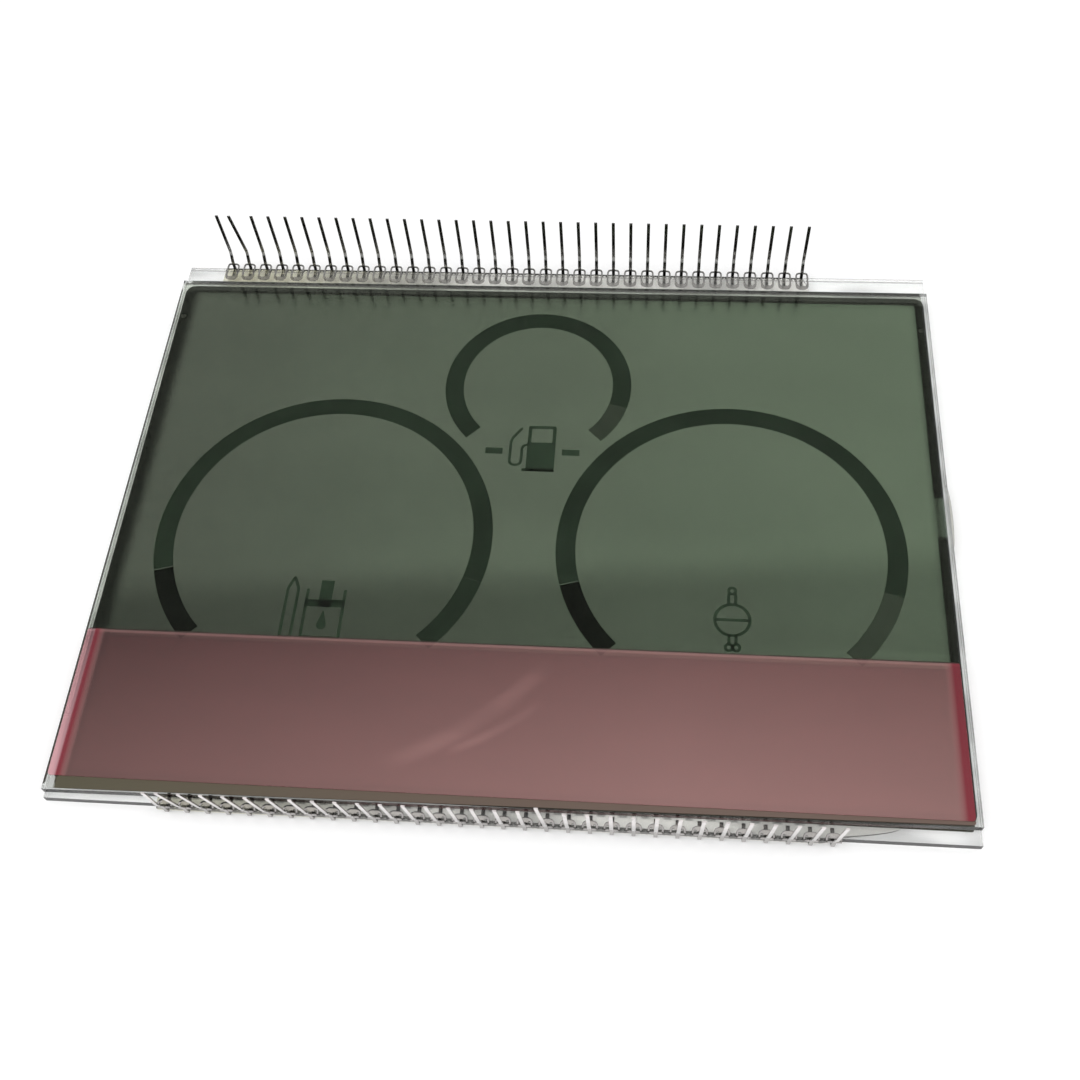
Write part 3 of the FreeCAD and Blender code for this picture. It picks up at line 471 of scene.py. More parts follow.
def polariser_finish(name, tint, margin=None):
    """Neutral polarising film bonded to the glass: a clear grey tint with slow drawn streaks. The margin is
    the tone of its strip below the red film, greener at its left end and bare in the corner, and a grey line
    runs along the sheet's upper edge."""
    r = Recipe(name)
    streaks = r.noise(r.place(0.7, (1, 3, 1)), 30)
    clear = r.surface("Transparent", r.blend(r.ramp(streaks, 0.0, 1.0, 0.35, 0.65), shade(tint, 0.985), tint))
    if margin is None:
        return r.done(clear)
    x, y = r.axis("X"), r.axis("Y")
    left_margin = (margin[0] * 0.6, margin[1] * 0.75, margin[2] * 0.62)
    tone = r.blend(r.ramp(x, 0.0, 1.0, -53 * MM, 20 * MM), left_margin, margin)
    tone = r.blend(r.ramp(streaks, 0.0, 0.3, 0.4, 0.6), tone, shade(margin, 0.8))
    below = r.ramp(y, 0.93, 0.0, FILM_LOW[1] - 0.05 * MM, FILM_LOW[1] + 0.1 * MM)
    inside = r.ramp(x, 0.0, 1.0, CELL_LOW[0] - 0.35 * MM, CELL_LOW[0] + 0.05 * MM)
    sheet = r.mixed(r.times(below, r.less(1.0, inside)), clear, r.surface("Transparent", (0.98, 0.98, 0.975)))
    sheet = r.mixed(r.times(below, inside), sheet, r.surface("Diffuse", tone))
    upper_edge = r.ramp(y, 0.0, 0.6, SHEET_HIGH[1] - 0.25 * MM, SHEET_HIGH[1] - 0.15 * MM)
    return r.done(r.mixed(upper_edge, sheet, r.surface("Diffuse", (0.16, 0.16, 0.155))))


def residue_glare_streak(r, x, y, turn, long, wide, bow):
    """A soft stroke: full on its middle line, which is bowed, and fading to its ends and sides. Across, it is
    one less the square of the distance, to the power 1.5. Along, it is one less the distance's cube."""
    moved = r.add("VectorMath", {0: r.add("TexCoord").outputs["Object"], 1: (-x * MM, -y * MM, 0)},
                  operation="ADD").outputs[0]
    local = r.add("Mapping", {"Vector": moved, "Rotation": (0, 0, -turn)}).outputs["Vector"]
    along = r.maths("DIVIDE", r.axis("X", local), long * MM)
    bowed = r.times(along, along, bow * MM)
    aside = r.maths("DIVIDE", r.less(r.axis("Y", local), bowed), wide * MM)
    side = r.maths("POWER", r.most(r.less(1.0, r.times(aside, aside)), 0.0), 1.5)
    ends = r.most(r.less(1.0, r.maths("POWER", r.maths("ABSOLUTE", along), 3.0)), 0.0)
    return r.times(side, ends)


def film_finish(name, clear_tint, body, deep):
    """Red colour film: partly see-through, more cloudy towards its lower right, deep red over the seal at
    both ends, with two pale residue streaks with painted glare, a painted edge shadow at the top and a light
    line below it."""
    r = Recipe(name)
    x, y, top = r.axis("X"), r.axis("Y"), FILM_HIGH[1]
    patchy = r.noise(r.place(0.6, (1, 3, 1)), 90)
    # Two pale streaks of residue on the film, made paler by painted glare.
    marks = r.plus(r.times(residue_glare_streak(r, -4.0, -31.0, 0.64, 12.5, 1.5, 1.6), 0.6),
                   r.times(residue_glare_streak(r, -1.2, -32.0, 0.56, 6.5, 0.8, 0.5), 0.7))
    marks = r.times(marks, r.ramp(patchy, 0.35, 1.1, 0.3, 0.7), 0.09)
    clear = r.blend(r.ramp(patchy, 0.0, 1.0, 0.3, 0.7), shade(clear_tint, 0.97), clear_tint)
    across = r.ramp(x, 0.0, 1.0, CELL_LOW[0], CELL_HIGH[0])
    down = r.ramp(y, 0.0, 1.0, top + 0.4 * MM, CELL_LOW[1])
    cloud = r.plus(r.times(across, r.plus(r.times(down, 0.1), 0.09)), r.times(down, 0.065), 0.03, marks)
    left, right = CELL_LOW[0], CELL_HIGH[0]
    ends = r.most(r.ramp(x, 0.0, 1.0, right - 1.05 * MM, right + 0.05 * MM),
                  r.ramp(x, 1.0, 0.0, left + 0.05 * MM, left + 1.05 * MM))
    pale_end = r.ramp(x, 1.0, 0.0, left - 0.55 * MM, left - 0.25 * MM)
    tone = r.blend(pale_end, r.blend(ends, body, deep), (0.95, 0.62, 0.66))
    cloud = r.times(cloud, r.ramp(ends, 1.0, 0.0), r.ramp(x, 1.0, 0.72, 20 * MM, 52 * MM))
    end_cloud = r.times(r.ramp(down, 0.3, 0.42), r.ramp(pale_end, 1.0, r.ramp(down, 0.25, 0.85)))
    lit_line = r.times(r.ramp(y, 1.0, 0.0, top - 0.26 * MM, top - 0.16 * MM),
                       r.ramp(y, 0.0, 1.0, top - 0.58 * MM, top - 0.45 * MM))
    cloud = r.plus(cloud, r.times(ends, end_cloud), r.times(lit_line, 0.08))
    sheet = r.mixed(cloud, r.surface("Transparent", clear), r.surface("Diffuse", tone))
    # Painted shadow: a dark line along the film's top edge.
    edge_shadow = r.ramp(y, 0.0, 0.8, top - 0.16 * MM, top - 0.1 * MM)
    sheet = r.mixed(edge_shadow, sheet, r.surface("Diffuse", (0.03, 0.022, 0.015)))
    return r.done(gloss_over(r, sheet, r.ramp(patchy, 0.05, 0.12, 0.4, 0.75), 1.25))


def field_finish(name, left, right):
    """The unlit field, partly a mirror: it grows paler to the right, a painted reflection of the bright
    surroundings, and darker by the seal and in the fill port. A painted reflection of something dark, a soft
    band with a slanting upper edge, lies above and under the red film, with a thin lighter line just above
    the film."""
    r = Recipe(name)
    x, y, film_top = r.axis("X"), r.axis("Y"), FILM_HIGH[1]
    # Painted reflection: a soft dark band below a slanting line, stronger at the left.
    reflection_slope, reflection_low, reflection_high = 0.08, -13.5 * MM, -6.5 * MM
    side = r.ramp(x, 0.0, 1.0, CELL_LOW[0], CELL_HIGH[0])
    cloud = r.ramp(r.noise(r.place(0.3, (1, 1.6, 1)), 28), 0.93, 1.05, 0.3, 0.7)
    by_left = r.ramp(x, 0.25, 1.0, CELL_LOW[0], CELL_LOW[0] + 1.6 * MM, smooth=True)
    by_top = r.ramp(y, 1.0, 0.8, CELL_HIGH[1] - 1.2 * MM, CELL_HIGH[1], smooth=True)
    by_right = r.ramp(x, 1.0, 0.7, CELL_HIGH[0] - 0.8 * MM, CELL_HIGH[0], smooth=True)
    in_port = r.ramp(x, 1.0, 0.5, CELL_HIGH[0], CELL_HIGH[0] + 0.15 * MM)
    slant = r.less(y, r.times(x, reflection_slope))
    into_reflection = r.ramp(slant, 1.0, 0.0, reflection_low, reflection_high, smooth=True)
    band = r.less(1.0, r.times(into_reflection, r.ramp(side, 0.48, 0.34)))
    line = r.times(r.ramp(y, 1.0, 0.0, film_top + 1.4 * MM, film_top + 1.55 * MM),
                   r.ramp(y, 0.35, 1.0, film_top + 1.2 * MM, film_top + 1.35 * MM))
    lit = r.plus(1.0, r.times(line, r.ramp(side, 0.06, 0.3, 0.3)))
    level = r.times(cloud, band, lit, by_left, by_top, by_right, in_port)
    # Painted reflection: the tone grows from the left colour to the paler right one.
    tone = r.blend(1.0, r.blend(side, left, right), r.grey(level), mode="MULTIPLY")
    return r.done(r.surface("Principled", tone, {"Metallic": 0.85, "Roughness": 0.1,
                                                 "Specular IOR Level": 0.0}))


def seal_finish(name, tone, top):
    """Seal epoxy: dark at the sides and paler along the top, where it lies under the polarisers' edge."""
    r = Recipe(name)
    uneven = r.ramp(r.noise(r.place(), 300, 2.0), 0.0, 0.3, 0.35, 0.65)
    along_top = r.ramp(r.axis("Y"), 0.0, 1.0, CELL_HIGH[1] - 0.2 * MM, CELL_HIGH[1] + 0.2 * MM)
    tone_now = r.blend(uneven, r.blend(along_top, tone, top), (0.02, 0.02, 0.02))
    return r.done(r.surface("Principled", tone_now, {"Metallic": 0.8, "Roughness": 0.15,
                                                     "Specular IOR Level": 0.0}))


def dark_finish(name, tone, variation, roughness=0.7):
    """A dark even layer inside the cell, with a faint uneven tone."""
    r = Recipe(name)
    tone_now = r.blend(r.ramp(r.noise(r.place(), 120), 0.0, 1.0, 0.3, 0.7), shade(tone, 1 - variation),
                       shade(tone, 1 + variation))
    rough = r.ramp(r.noise(r.place(), 400), roughness - 0.08, roughness + 0.08)
    return r.done(r.surface("Principled", tone_now, {"Roughness": rough, "Specular IOR Level": 0.0}))


def tin_finish(name, tone, leg_reflection_tone):
    """Satin tin plate in painted reflection tones, its own on the legs above a height: drawn lines along the
    leg, rougher darker patches, and a painted pale reflection round the leg's bend, where it is also rougher."""
    r = Recipe(name)
    drawn = r.noise(r.place(0, (3, 3, 0.25)), 3000, 1.0)
    patches = r.noise(r.place(), 700, 2.0)
    bend_level, leg_low, leg_high = LEDGE + 2.4 * MM, LEDGE + 2.2 * MM, LEDGE + 7 * MM
    from_bend = r.maths("ABSOLUTE", r.less(r.axis("Z"), bend_level))
    # Painted reflection: a pale band round the leg's bend, which is also rougher there.
    bend_reflection = r.ramp(from_bend, 0.8, 0.0, 0.1 * MM, 0.6 * MM, smooth=True)
    # Painted reflection: the tone changes from the clip's to the leg's between two heights.
    tone_now = r.blend(r.ramp(r.axis("Z"), 0.0, 1.0, leg_low, leg_high), tone, leg_reflection_tone)
    tone_now = r.blend(r.ramp(patches, 0.25, 0.0, 0.35, 0.65), tone_now, (0.05, 0.05, 0.05))
    tone_now = r.blend(bend_reflection, tone_now, (0.85, 0.85, 0.84))
    rough = r.plus(r.ramp(patches, 0.1, 0.22, 0.35, 0.65), r.times(bend_reflection, 0.4))
    return r.done(r.surface("Principled", tone_now, {"Metallic": 1.0, "Roughness": rough,
                                                     "Normal": r.bump(drawn, 0.04, 0.02 * MM)}))


def resin_finish(name, tint, aged, depth, blobs=0.0):
    """Clear cured resin: see-through and wet looking, yellower to the left, with painted shade in dark
    contours where its surface turns away, standing in for refraction. Its map gives the share of its width
    and the place along the
    row in pitches: a painted dark line runs along the rim, thicker beside each clip, and painted shade lies
    in dark blobs by the wall between the clips."""
    r = Recipe(name)
    uneven = r.noise(r.place(0, (1, 1.5, 1)), 900, 2.0)
    waves = r.bump(uneven, 0.3, 0.12 * MM)
    facing = r.add("LayerWeight", {"Blend": 0.4, "Normal": waves}).outputs["Facing"]
    split = r.add("SeparateXYZ", {"Vector": r.add("UVMap").outputs["UV"]}).outputs
    across, between = split["X"], r.maths("PINGPONG", split["Y"], 0.5)
    beside = r.ramp(r.maths("ABSOLUTE", r.less(between, 0.38)), 0.07, 0.0, 0.0, 0.1, smooth=True)
    rim = r.ramp(r.plus(across, beside), 0.0, 1.0, 0.88, 0.94, smooth=True)
    by_wall = r.times(r.ramp(across, blobs, 0.0, 0.08, 0.2, smooth=True),
                      r.ramp(r.plus(between, r.times(uneven, 0.2)), 0.0, 1.0, 0.32, 0.5, smooth=True))
    # Painted shade: the contours, the rim line and the blobs by the wall all darken the resin's tint.
    dark = r.most(r.ramp(facing, 0.0, 0.9, 0.55, 0.95, smooth=True), rim, by_wall)
    tone = r.blend(r.ramp(r.axis("X"), 0.0, 1.0, -48 * MM, -10 * MM), aged, tint)
    clear = r.surface("Transparent", r.blend(dark, tone, shade(tint, depth)))
    return r.done(gloss_over(r, clear, r.ramp(uneven, 0.02, 0.1), 1.5, waves))


# Clip pins

def fold_over_edge(across, down, out, sheet_y, top, level, bend):
    """A flat blank folded once: it hangs down from the top, turns through a quarter circle and lies level.

    across is the place along X, down the distance along the blank from its top, and out the offset from the
    blank's middle plane towards the outside of the bend.
    """
    straight = top - level - bend
    turn = bend * math.pi / 2
    angle_here = np.clip((down - straight) / bend, 0, math.pi / 2)
    before, beyond = np.minimum(down, straight), np.maximum(down - straight - turn, 0)
    reach = bend + out
    y = sheet_y - bend + reach * np.cos(angle_here) - beyond
    z = top - before - reach * np.sin(angle_here)
    return np.stack(np.broadcast_arrays(across, y, z), -1)


def bevelled_strip(width, thick, edge=0.03 * MM):
    """Section of a stamped strip: a rectangle with small cut corners."""
    half, rise = width / 2, thick / 2
    return np.array([(-half, -rise + edge), (-half + edge, -rise), (half - edge, -rise), (half, -rise + edge),
                     (half, rise - edge), (half - edge, rise), (-half + edge, rise), (-half, rise - edge)])


def clip_parts(sizes, reach, lean, tilt=0.0):
    """One clip at X = 0 on the upper edge: a ring over the ledge and a strip from leg tip to tongue.

    The ring is a rounded rectangle on the flat blank, folded over the edge, and its closed end is wider. The
    strip runs down the leg, past the glass edge and under it.
    """
    sheet_y = EDGE + sizes.stand + sizes.stock / 2
    top = LEDGE + sizes.ring_height
    level = LEDGE + sizes.stock / 2
    bend = 0.25 * MM
    half = (sizes.ring_width - sizes.tine_width) / 2
    start = sizes.tine_width / 2
    end = (top - level - bend) + bend * math.pi / 2 + (sheet_y - bend - EDGE + reach) - start
    soft = min(0.5 * MM, (end - start) * 0.45)
    softer = min(half * 0.95, soft * 1.3)
    line = evenly(rounded([(-half, start), (half, start), (half, end), (-half, end)],
                          [soft, soft, softer, softer], closed=True, steps=9), count=40)
    aside = across_of(line, closed=True)
    section = bevelled_strip(sizes.tine_width, sizes.stock)
    widening, from_share = 1.6, 0.72
    wider = 1 + widening * np.clip((line[:, 1:] - from_share * end) / ((1 - from_share) * end), 0, 1)
    widths = (section[None, :, 0] - start) * wider + start
    across = line[:, None, 0] + widths * aside[:, None, 0]
    down = line[:, None, 1] + widths * aside[:, None, 1]
    ring = tube(fold_over_edge(across, down, section[None, :, 1], sheet_y, top, level, bend), closed=True)

    foot = np.array([0.0, sheet_y, LEDGE + sizes.foot_height])
    step = foot + np.array([0.0, sizes.leg_step, sizes.leg_step_height])
    rise = np.array([-math.sin(tilt), math.cos(tilt) * math.sin(lean), math.cos(tilt) * math.cos(lean)])
    low, step_bend, foot_bend = sizes.stock / 2, 0.45 * MM, 0.35 * MM
    path = rounded([step + rise * sizes.leg_length, step, foot, (0.0, sheet_y, low),
                    (0.0, EDGE - sizes.tongue_reach, low)], [0.0, step_bend, foot_bend, bend, 0.0])
    ahead = np.gradient(path, axis=0)
    ahead /= np.linalg.norm(ahead, axis=1, keepdims=True)
    sideways = np.array([1.0, 0.0, 0.0]) - ahead * ahead[:, :1]
    sideways /= np.linalg.norm(sideways, axis=1, keepdims=True)
    strip = bevelled_strip(sizes.leg_width, sizes.stock)
    return [ring, carried(path, sideways, np.cross(sideways, ahead), strip)]


def row_of(clip, start, pitch, places):
    """Copies of one clip at its places in a row."""
    return [repeated(part, [(start + pitch * place, 0.0, 0.0) for place in places]) for part in clip]


def lowered(part, step, start, end, fall):
    """A row of legs whose height above their step falls evenly from the row's start to its end."""
    points, faces = part
    share = np.clip((points[:, 0] - start) / (end - start), 0, 1)
    height = np.maximum(points[:, 2] - step, 0)
    drop = fall * share * height / max(height.max(), MM)
    return points - drop[:, None] * np.array([0.0, 0.0, 1.0]), faces


class PANEL_OT_clip_pins(bpy.types.Operator):
    """Two rows of stamped clips: folded rings over the ledges, tongues under the glass and upright legs"""
    bl_idname = "lcd_panel.clip_pins"
    bl_label = "Clip pins"

    def execute(self, context):
        sizes, colours = context.scene.lcd_pins, context.scene.lcd_colours
        # Painted reflection: the upper row gets the dark tin tones.
        tin = tin_finish("upper_tin", colours.tin, colours.shaded_leg_tin)
        start, pitch, count = sizes.upper_start, sizes.pitch, sizes.upper_count
        parts = []
        for places, tilt in ((range(2, count), 0.0), ([0], sizes.upper_first_tilt),
                             ([1], sizes.upper_second_tilt)):
            clip = clip_parts(sizes, sizes.upper_reach, sizes.upper_lean, tilt)
            parts += row_of(clip, start, pitch, places)
        step = LEDGE + sizes.foot_height + sizes.leg_step_height
        parts = [lowered(part, step, start, start + pitch * (count - 1), sizes.leg_fall) for part in parts]
        piece("upper_pin_row", parts, tin,
              ["upper_pins", "upper_pin_first", "upper_pin_second"], PIN_SMOOTHING)

        # Painted reflection: the lower row gets the pale tin tones.
        tin = tin_finish("lower_tin", colours.lit_clip_tin, colours.lit_leg_tin)
        straight = [place for place in range(1, sizes.lower_count) if place != sizes.bent_place]
        parts = []
        for places, lean, tilt in ((straight, sizes.lower_lean, 0.0),
                                   ([0], sizes.lower_lean, sizes.lower_first_tilt),
                                   ([sizes.bent_place], sizes.bent_lean, sizes.bent_tilt)):
            clip = [half_turned(part) for part in clip_parts(sizes, sizes.lower_reach, lean, tilt)]
            parts += row_of(clip, sizes.lower_start, pitch, places)
        piece("lower_pin_row", parts, tin,
              ["lower_pins_left", "lower_pins_right", "lower_pin_bent"], PIN_SMOOTHING)
        return {"FINISHED"}


# Glass, sheets and the cell

class PANEL_OT_glass_plates(bpy.types.Operator):
    """Finish of the two glass plates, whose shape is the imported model's"""
    bl_idname = "lcd_panel.glass_plates"
    bl_label = "Glass plates"

    def execute(self, context):
        colours = context.scene.lcd_colours
        # Each plate gets a painted shade line along its upper edge: where it starts and how dark it is.
        front = {"ior": 1.38, "grey": 0.72, "edge_shade_from": EDGE - 0.16 * MM, "edge_shade": 0.35}
        rear = {"ior": 1.36, "grey": 0.985, "edge_shade_from": SHEET_HIGH[1] + 0.05 * MM, "edge_shade": 0.72}
        for node, tint, look in (("front_glass", colours.front_glass, front),
                                 ("rear_glass", colours.glass, rear)):
            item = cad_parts[node]
            item.data.materials.clear()
            item.data.materials.append(glass_finish(f"{node}_plate", tint, **look))
        return {"FINISHED"}


def outline_of(node):
    """The four corners of a flat sheet of the model, anticlockwise: its mesh's points furthest along the
    two diagonals."""
    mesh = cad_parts[node].data
    points = np.empty(len(mesh.vertices) * 3)
    mesh.vertices.foreach_get("co", points)
    points = points.reshape(-1, 3)[:, :2]
    diagonals = np.array([(-1, -1), (1, -1), (1, 1), (-1, 1)])
    return points[np.argmax(points @ diagonals.T, axis=0)]


class PANEL_OT_polarisers(bpy.types.Operator):
    """Both polarising sheets, with cut corners that are slightly rounded"""
    bl_idname = "lcd_panel.polarisers"
    bl_label = "Polarisers"

    def execute(self, context):
        colours = context.scene.lcd_colours
        for node, low_gap, high_gap, *look in (
                ("front_polariser", 0.0, SKIN, colours.crossed),
                ("rear_polariser", SKIN, 0.0, colours.polariser, colours.margin)):
            low, high = corners_of(node)
            outline = rounded(outline_of(node), radius=0.35 * MM, closed=True)
            sheet = slab(outline, low[2] + low_gap, high[2] - high_gap, edge=0.02 * MM)
            piece(f"{node}_sheet", [sheet], polariser_finish(f"{node}_film", *look), [node])
        return {"FINISHED"}


class PANEL_OT_red_film(bpy.types.Operator):
    """Red colour film over the low band"""
    bl_idname = "lcd_panel.red_film"
    bl_label = "Red film"

    def execute(self, context):
        colours = context.scene.lcd_colours
        outline = rounded(outline_of("red_film"), radius=0.5 * MM, closed=True)
        sheet = slab(outline, FILM_LOW[2] + SKIN / 2, FILM_HIGH[2], edge=0.015 * MM)
        red = film_finish("red_colour_film", colours.film, colours.film_body, colours.film_end)
        piece("red_film_sheet", [sheet], red, ["red_film"])
        return {"FINISHED"}


class PANEL_OT_cell(bpy.types.Operator):
    """The liquid crystal field, the seal line round it and the conductive dots in the seal line"""
    bl_idname = "lcd_panel.cell"
    bl_label = "Cell"

    def execute(self, context):
        colours = context.scene.lcd_colours
        low, high = CELL_LOW[2] - SKIN, CELL_HIGH[2] + SKIN
        field = slab(rectangle(*CELL_LOW[:2], *CELL_HIGH[:2], radius=0.5 * MM), low, high)
        port = slab(rectangle(CELL_HIGH[0] + SKIN, PORT_LOW + SKIN, SEAL_HIGH[0], PORT_HIGH - SKIN), low,
                    high)
        unlit = field_finish("unlit_field", colours.panel_left, colours.panel_right)
        piece("crystal_field", [field, port], unlit, ["liquid_crystal"])

        left, bottom = ((SEAL_LOW + CELL_LOW) / 2)[:2]
        right, top = ((SEAL_HIGH + CELL_HIGH) / 2)[:2]
        line = [(right, PORT_HIGH), (right, top), (left, top), (left, bottom), (right, bottom),
                (right, PORT_LOW)]
        seal = stroke(line, SEAL_HIGH[0] - CELL_HIGH[0], low + SKIN / 2, high - SKIN / 2, radius=0.8 * MM)
        epoxy = seal_finish("seal_epoxy", colours.seal, colours.seal_top)
        piece("seal_line", [seal], epoxy, ["seal_frame"])

        angles, dot_radius, inset = round_angles(16), 0.38 * MM, 0.4 * MM
        dot = slab(np.column_stack([np.cos(angles), np.sin(angles)]) * dot_radius, low, high)
        dots_low, dots_high = corners_of("transfer_dots")
        x, rows = dots_high[0] - inset, (dots_low[1] + inset, dots_high[1] - inset)
        dots = repeated(dot, [(side * x, y, 0) for y in rows for side in (1, -1)])
        silver = dark_finish("silver_adhesive", colours.silver, variation=0.25, roughness=0.5)
        piece("conductive_dots", [dots], silver, ["transfer_dots"])
        return {"FINISHED"}


# Gauge bands and pictograms

def ring_of(band):
    """Centre and outer radius of a gauge. The box of its main band reaches its top and both of its sides."""
    low, high = corners_of(band)
    radius = (high[0] - low[0]) / 2
    return ((low[0] + high[0]) / 2, high[1] - radius), radius


def gauge_angles(sizes, radius):
    """Start and end angle of the low right segment, the main band and the low left segment."""
    start, end, gap = sizes.band_start, sizes.band_end, sizes.band_gap / radius
    return ((start, start + sizes.low_span), (start + sizes.low_span + gap / 4, end - sizes.low_span - gap),
            (end - sizes.low_span, end))


class PANEL_OT_gauge_bands(bpy.types.Operator):
    """Three gauge bands of 270 degrees, each in a main band and its low segments"""
    bl_idname = "lcd_panel.gauge_bands"
    bl_label = "Gauge bands"

    def execute(self, context):
        sizes, colours = context.scene.lcd_gauges, context.scene.lcd_colours
        main = dark_finish("band_segment", colours.segment, variation=0.2)
        darkest = dark_finish("low_segment", colours.low_segment, variation=0.2)
        pale = dark_finish("pale_segment", shade(colours.panel_right, 0.22), variation=0.15)
        for name in ("left_gauge", "right_gauge", "fuel_gauge"):
            centre, radius = ring_of(f"{name}_band")
            right, middle, left = gauge_angles(sizes, radius)
            arcs = [("main_band", "band", middle, main, "gauge_bands"),
                    ("low_right_segment", "low_right", right, main if name == "left_gauge" else pale,
                     "low_segments"),
                    ("low_left_segment", "low_left", left, darkest, "low_segments")]
            if name == "fuel_gauge":
                arcs = [("main_band", "band", (middle[0], left[1]), main, "gauge_bands"), arcs[1]]
            for part, node, ends, material, slot in arcs:
                arc = sector(centre, radius, sizes.band_width, *ends, SEGMENT_LOW, SEGMENT_HIGH)
                piece(f"{name}_{part}", [arc], material, [f"{name}_{node}"])
        return {"FINISHED"}


def bar(left, bottom, width, depth, radius=0.08):
    """A flat bar with barely rounded corners, in millimetres."""
    outline = rectangle(left * MM, bottom * MM, (left + width) * MM, (bottom + depth) * MM, radius * MM)
    return slab(outline, SEGMENT_LOW, SEGMENT_HIGH)


def line_of(corners, width, radius, closed=False):
    """A drawn line through corners in millimetres."""
    return stroke(np.array(corners) * MM, width, SEGMENT_LOW, SEGMENT_HIGH, np.array(radius) * MM, closed)


def loop_of(x, y, radius, width):
    """A closed round line, in millimetres, drawn inside its outer radius."""
    angles = round_angles(32)
    reach = radius - width / MM / 2
    line = np.column_stack([x + reach * np.cos(angles), y + reach * np.sin(angles)]) * MM
    return flat_line(line, across_of(line, closed=True), -width / 2, width / 2, SEGMENT_LOW, SEGMENT_HIGH,
                     closed=True)


class PANEL_OT_pictograms(bpy.types.Operator):
    """Fuel pump with two dashes, dipstick, tank with its drop, and float"""
    bl_idname = "lcd_panel.pictograms"
    bl_label = "Pictograms"

    def execute(self, context):
        """The tank's drop is a circle drawn up by the cube of the sine, and narrowed by a part of it."""
        sizes, colours = context.scene.lcd_gauges, context.scene.lcd_colours
        ink = dark_finish("pictogram_segment", shade(colours.segment, 1.6), variation=0.2)
        fuel_y = ring_of("fuel_gauge_band")[0][1]
        left_x, left_y = ring_of("left_gauge_band")[0]
        right_x, right_y = ring_of("right_gauge_band")[0]
        line, hose = sizes.line, sizes.hose_line

        x, y = -0.75, fuel_y / MM - 14.65
        case = [(x + 0.25, y + 4.6), (x + 0.25, y + 7.35), (x + 3.65, y + 7.35), (x + 3.65, y + 4.6)]
        bow = [(x + 0.38, y + 4.5), (x - 0.7, y + 4.12), (x - 0.7, y + 1.0), (x - 2.3, y + 1.0),
               (x - 2.3, y + 5.2), (x - 0.9, y + 7.2)]
        pump = [bar(x, y, 3.9, 4.8), bar(x - 0.5, y, 4.4, 0.45), line_of(case, 0.5 * MM, 0.15),
                line_of(bow, hose, [0.2, 0.5, 0.78, 0.78, 0.7, 0.2])]
        piece("fuel_pump", pump, ink, ["pump_pictogram"])

        for side, place in (("left", -5.3), ("right", 5.3)):
            dash = bar(place - 1.2, fuel_y / MM - 11.9, 2.4, 1.0)
            piece(f"{side}_range_dash", [dash], ink, [f"{side}_dash"])

        x, y = left_x / MM - 2.65, left_y / MM - 15.2
        tip = [(x - 0.7, y), (x + 0.7, y), (x + 0.7, y + 7.1), (x, y + 8.7), (x - 0.7, y + 7.1)]
        probe = line_of(tip, line, [0.1, 0.1, 0.3, 0.1, 0.3], closed=True)
        piece("dipstick", [probe], ink, ["probe_pictogram"])

        x, y = left_x / MM + 1.8, left_y / MM - 15.1
        walls = [(x - 2.45, y), (x + 2.45, y), (x + 2.45, y + 5.3), (x - 2.45, y + 5.3)]
        tank = [line_of(walls, line, 0.2, closed=True)]
        for left, width, depth in ((-2.45, 4.9, 0.9), (-0.85, 1.7, 3.9), (-2.65, 0.4, 2.6), (2.25, 0.4, 2.6)):
            tank.append(bar(x + left, y + 4.4, width, depth))
        piece("tank", tank, ink, ["tank_pictogram"])

        angles = round_angles(32)
        lift = np.maximum(np.sin(angles), 0) ** 3
        drop = np.column_stack([x + 0.62 * np.cos(angles) * (1 - 0.35 * lift),
                                y + 1.8 + 0.62 * np.sin(angles) + 1.48 * lift]) * MM
        piece("tank_drop", [slab(drop, SEGMENT_LOW, SEGMENT_HIGH)], ink, ["drop_pictogram"])

        x, y = right_x / MM + 0.25, right_y / MM - 10.3
        gauge = [loop_of(x, y, 2.4, line), bar(x - 2.2, y - 0.2, 4.4, 0.4)]
        for side in (-0.45, 0.45):
            gauge += [bar(x + side - 0.2, y - 3.4, 0.4, 1.4), bar(x + side - 0.2, y + 2.2, 0.4, 1.5),
                      loop_of(x + side, y - 3.86, 0.64, line)]
        gauge.append(loop_of(x, y + 4.16, 0.64, line))
        piece("float", gauge, ink, ["float_pictogram"])
        return {"FINISHED"}


# Resin

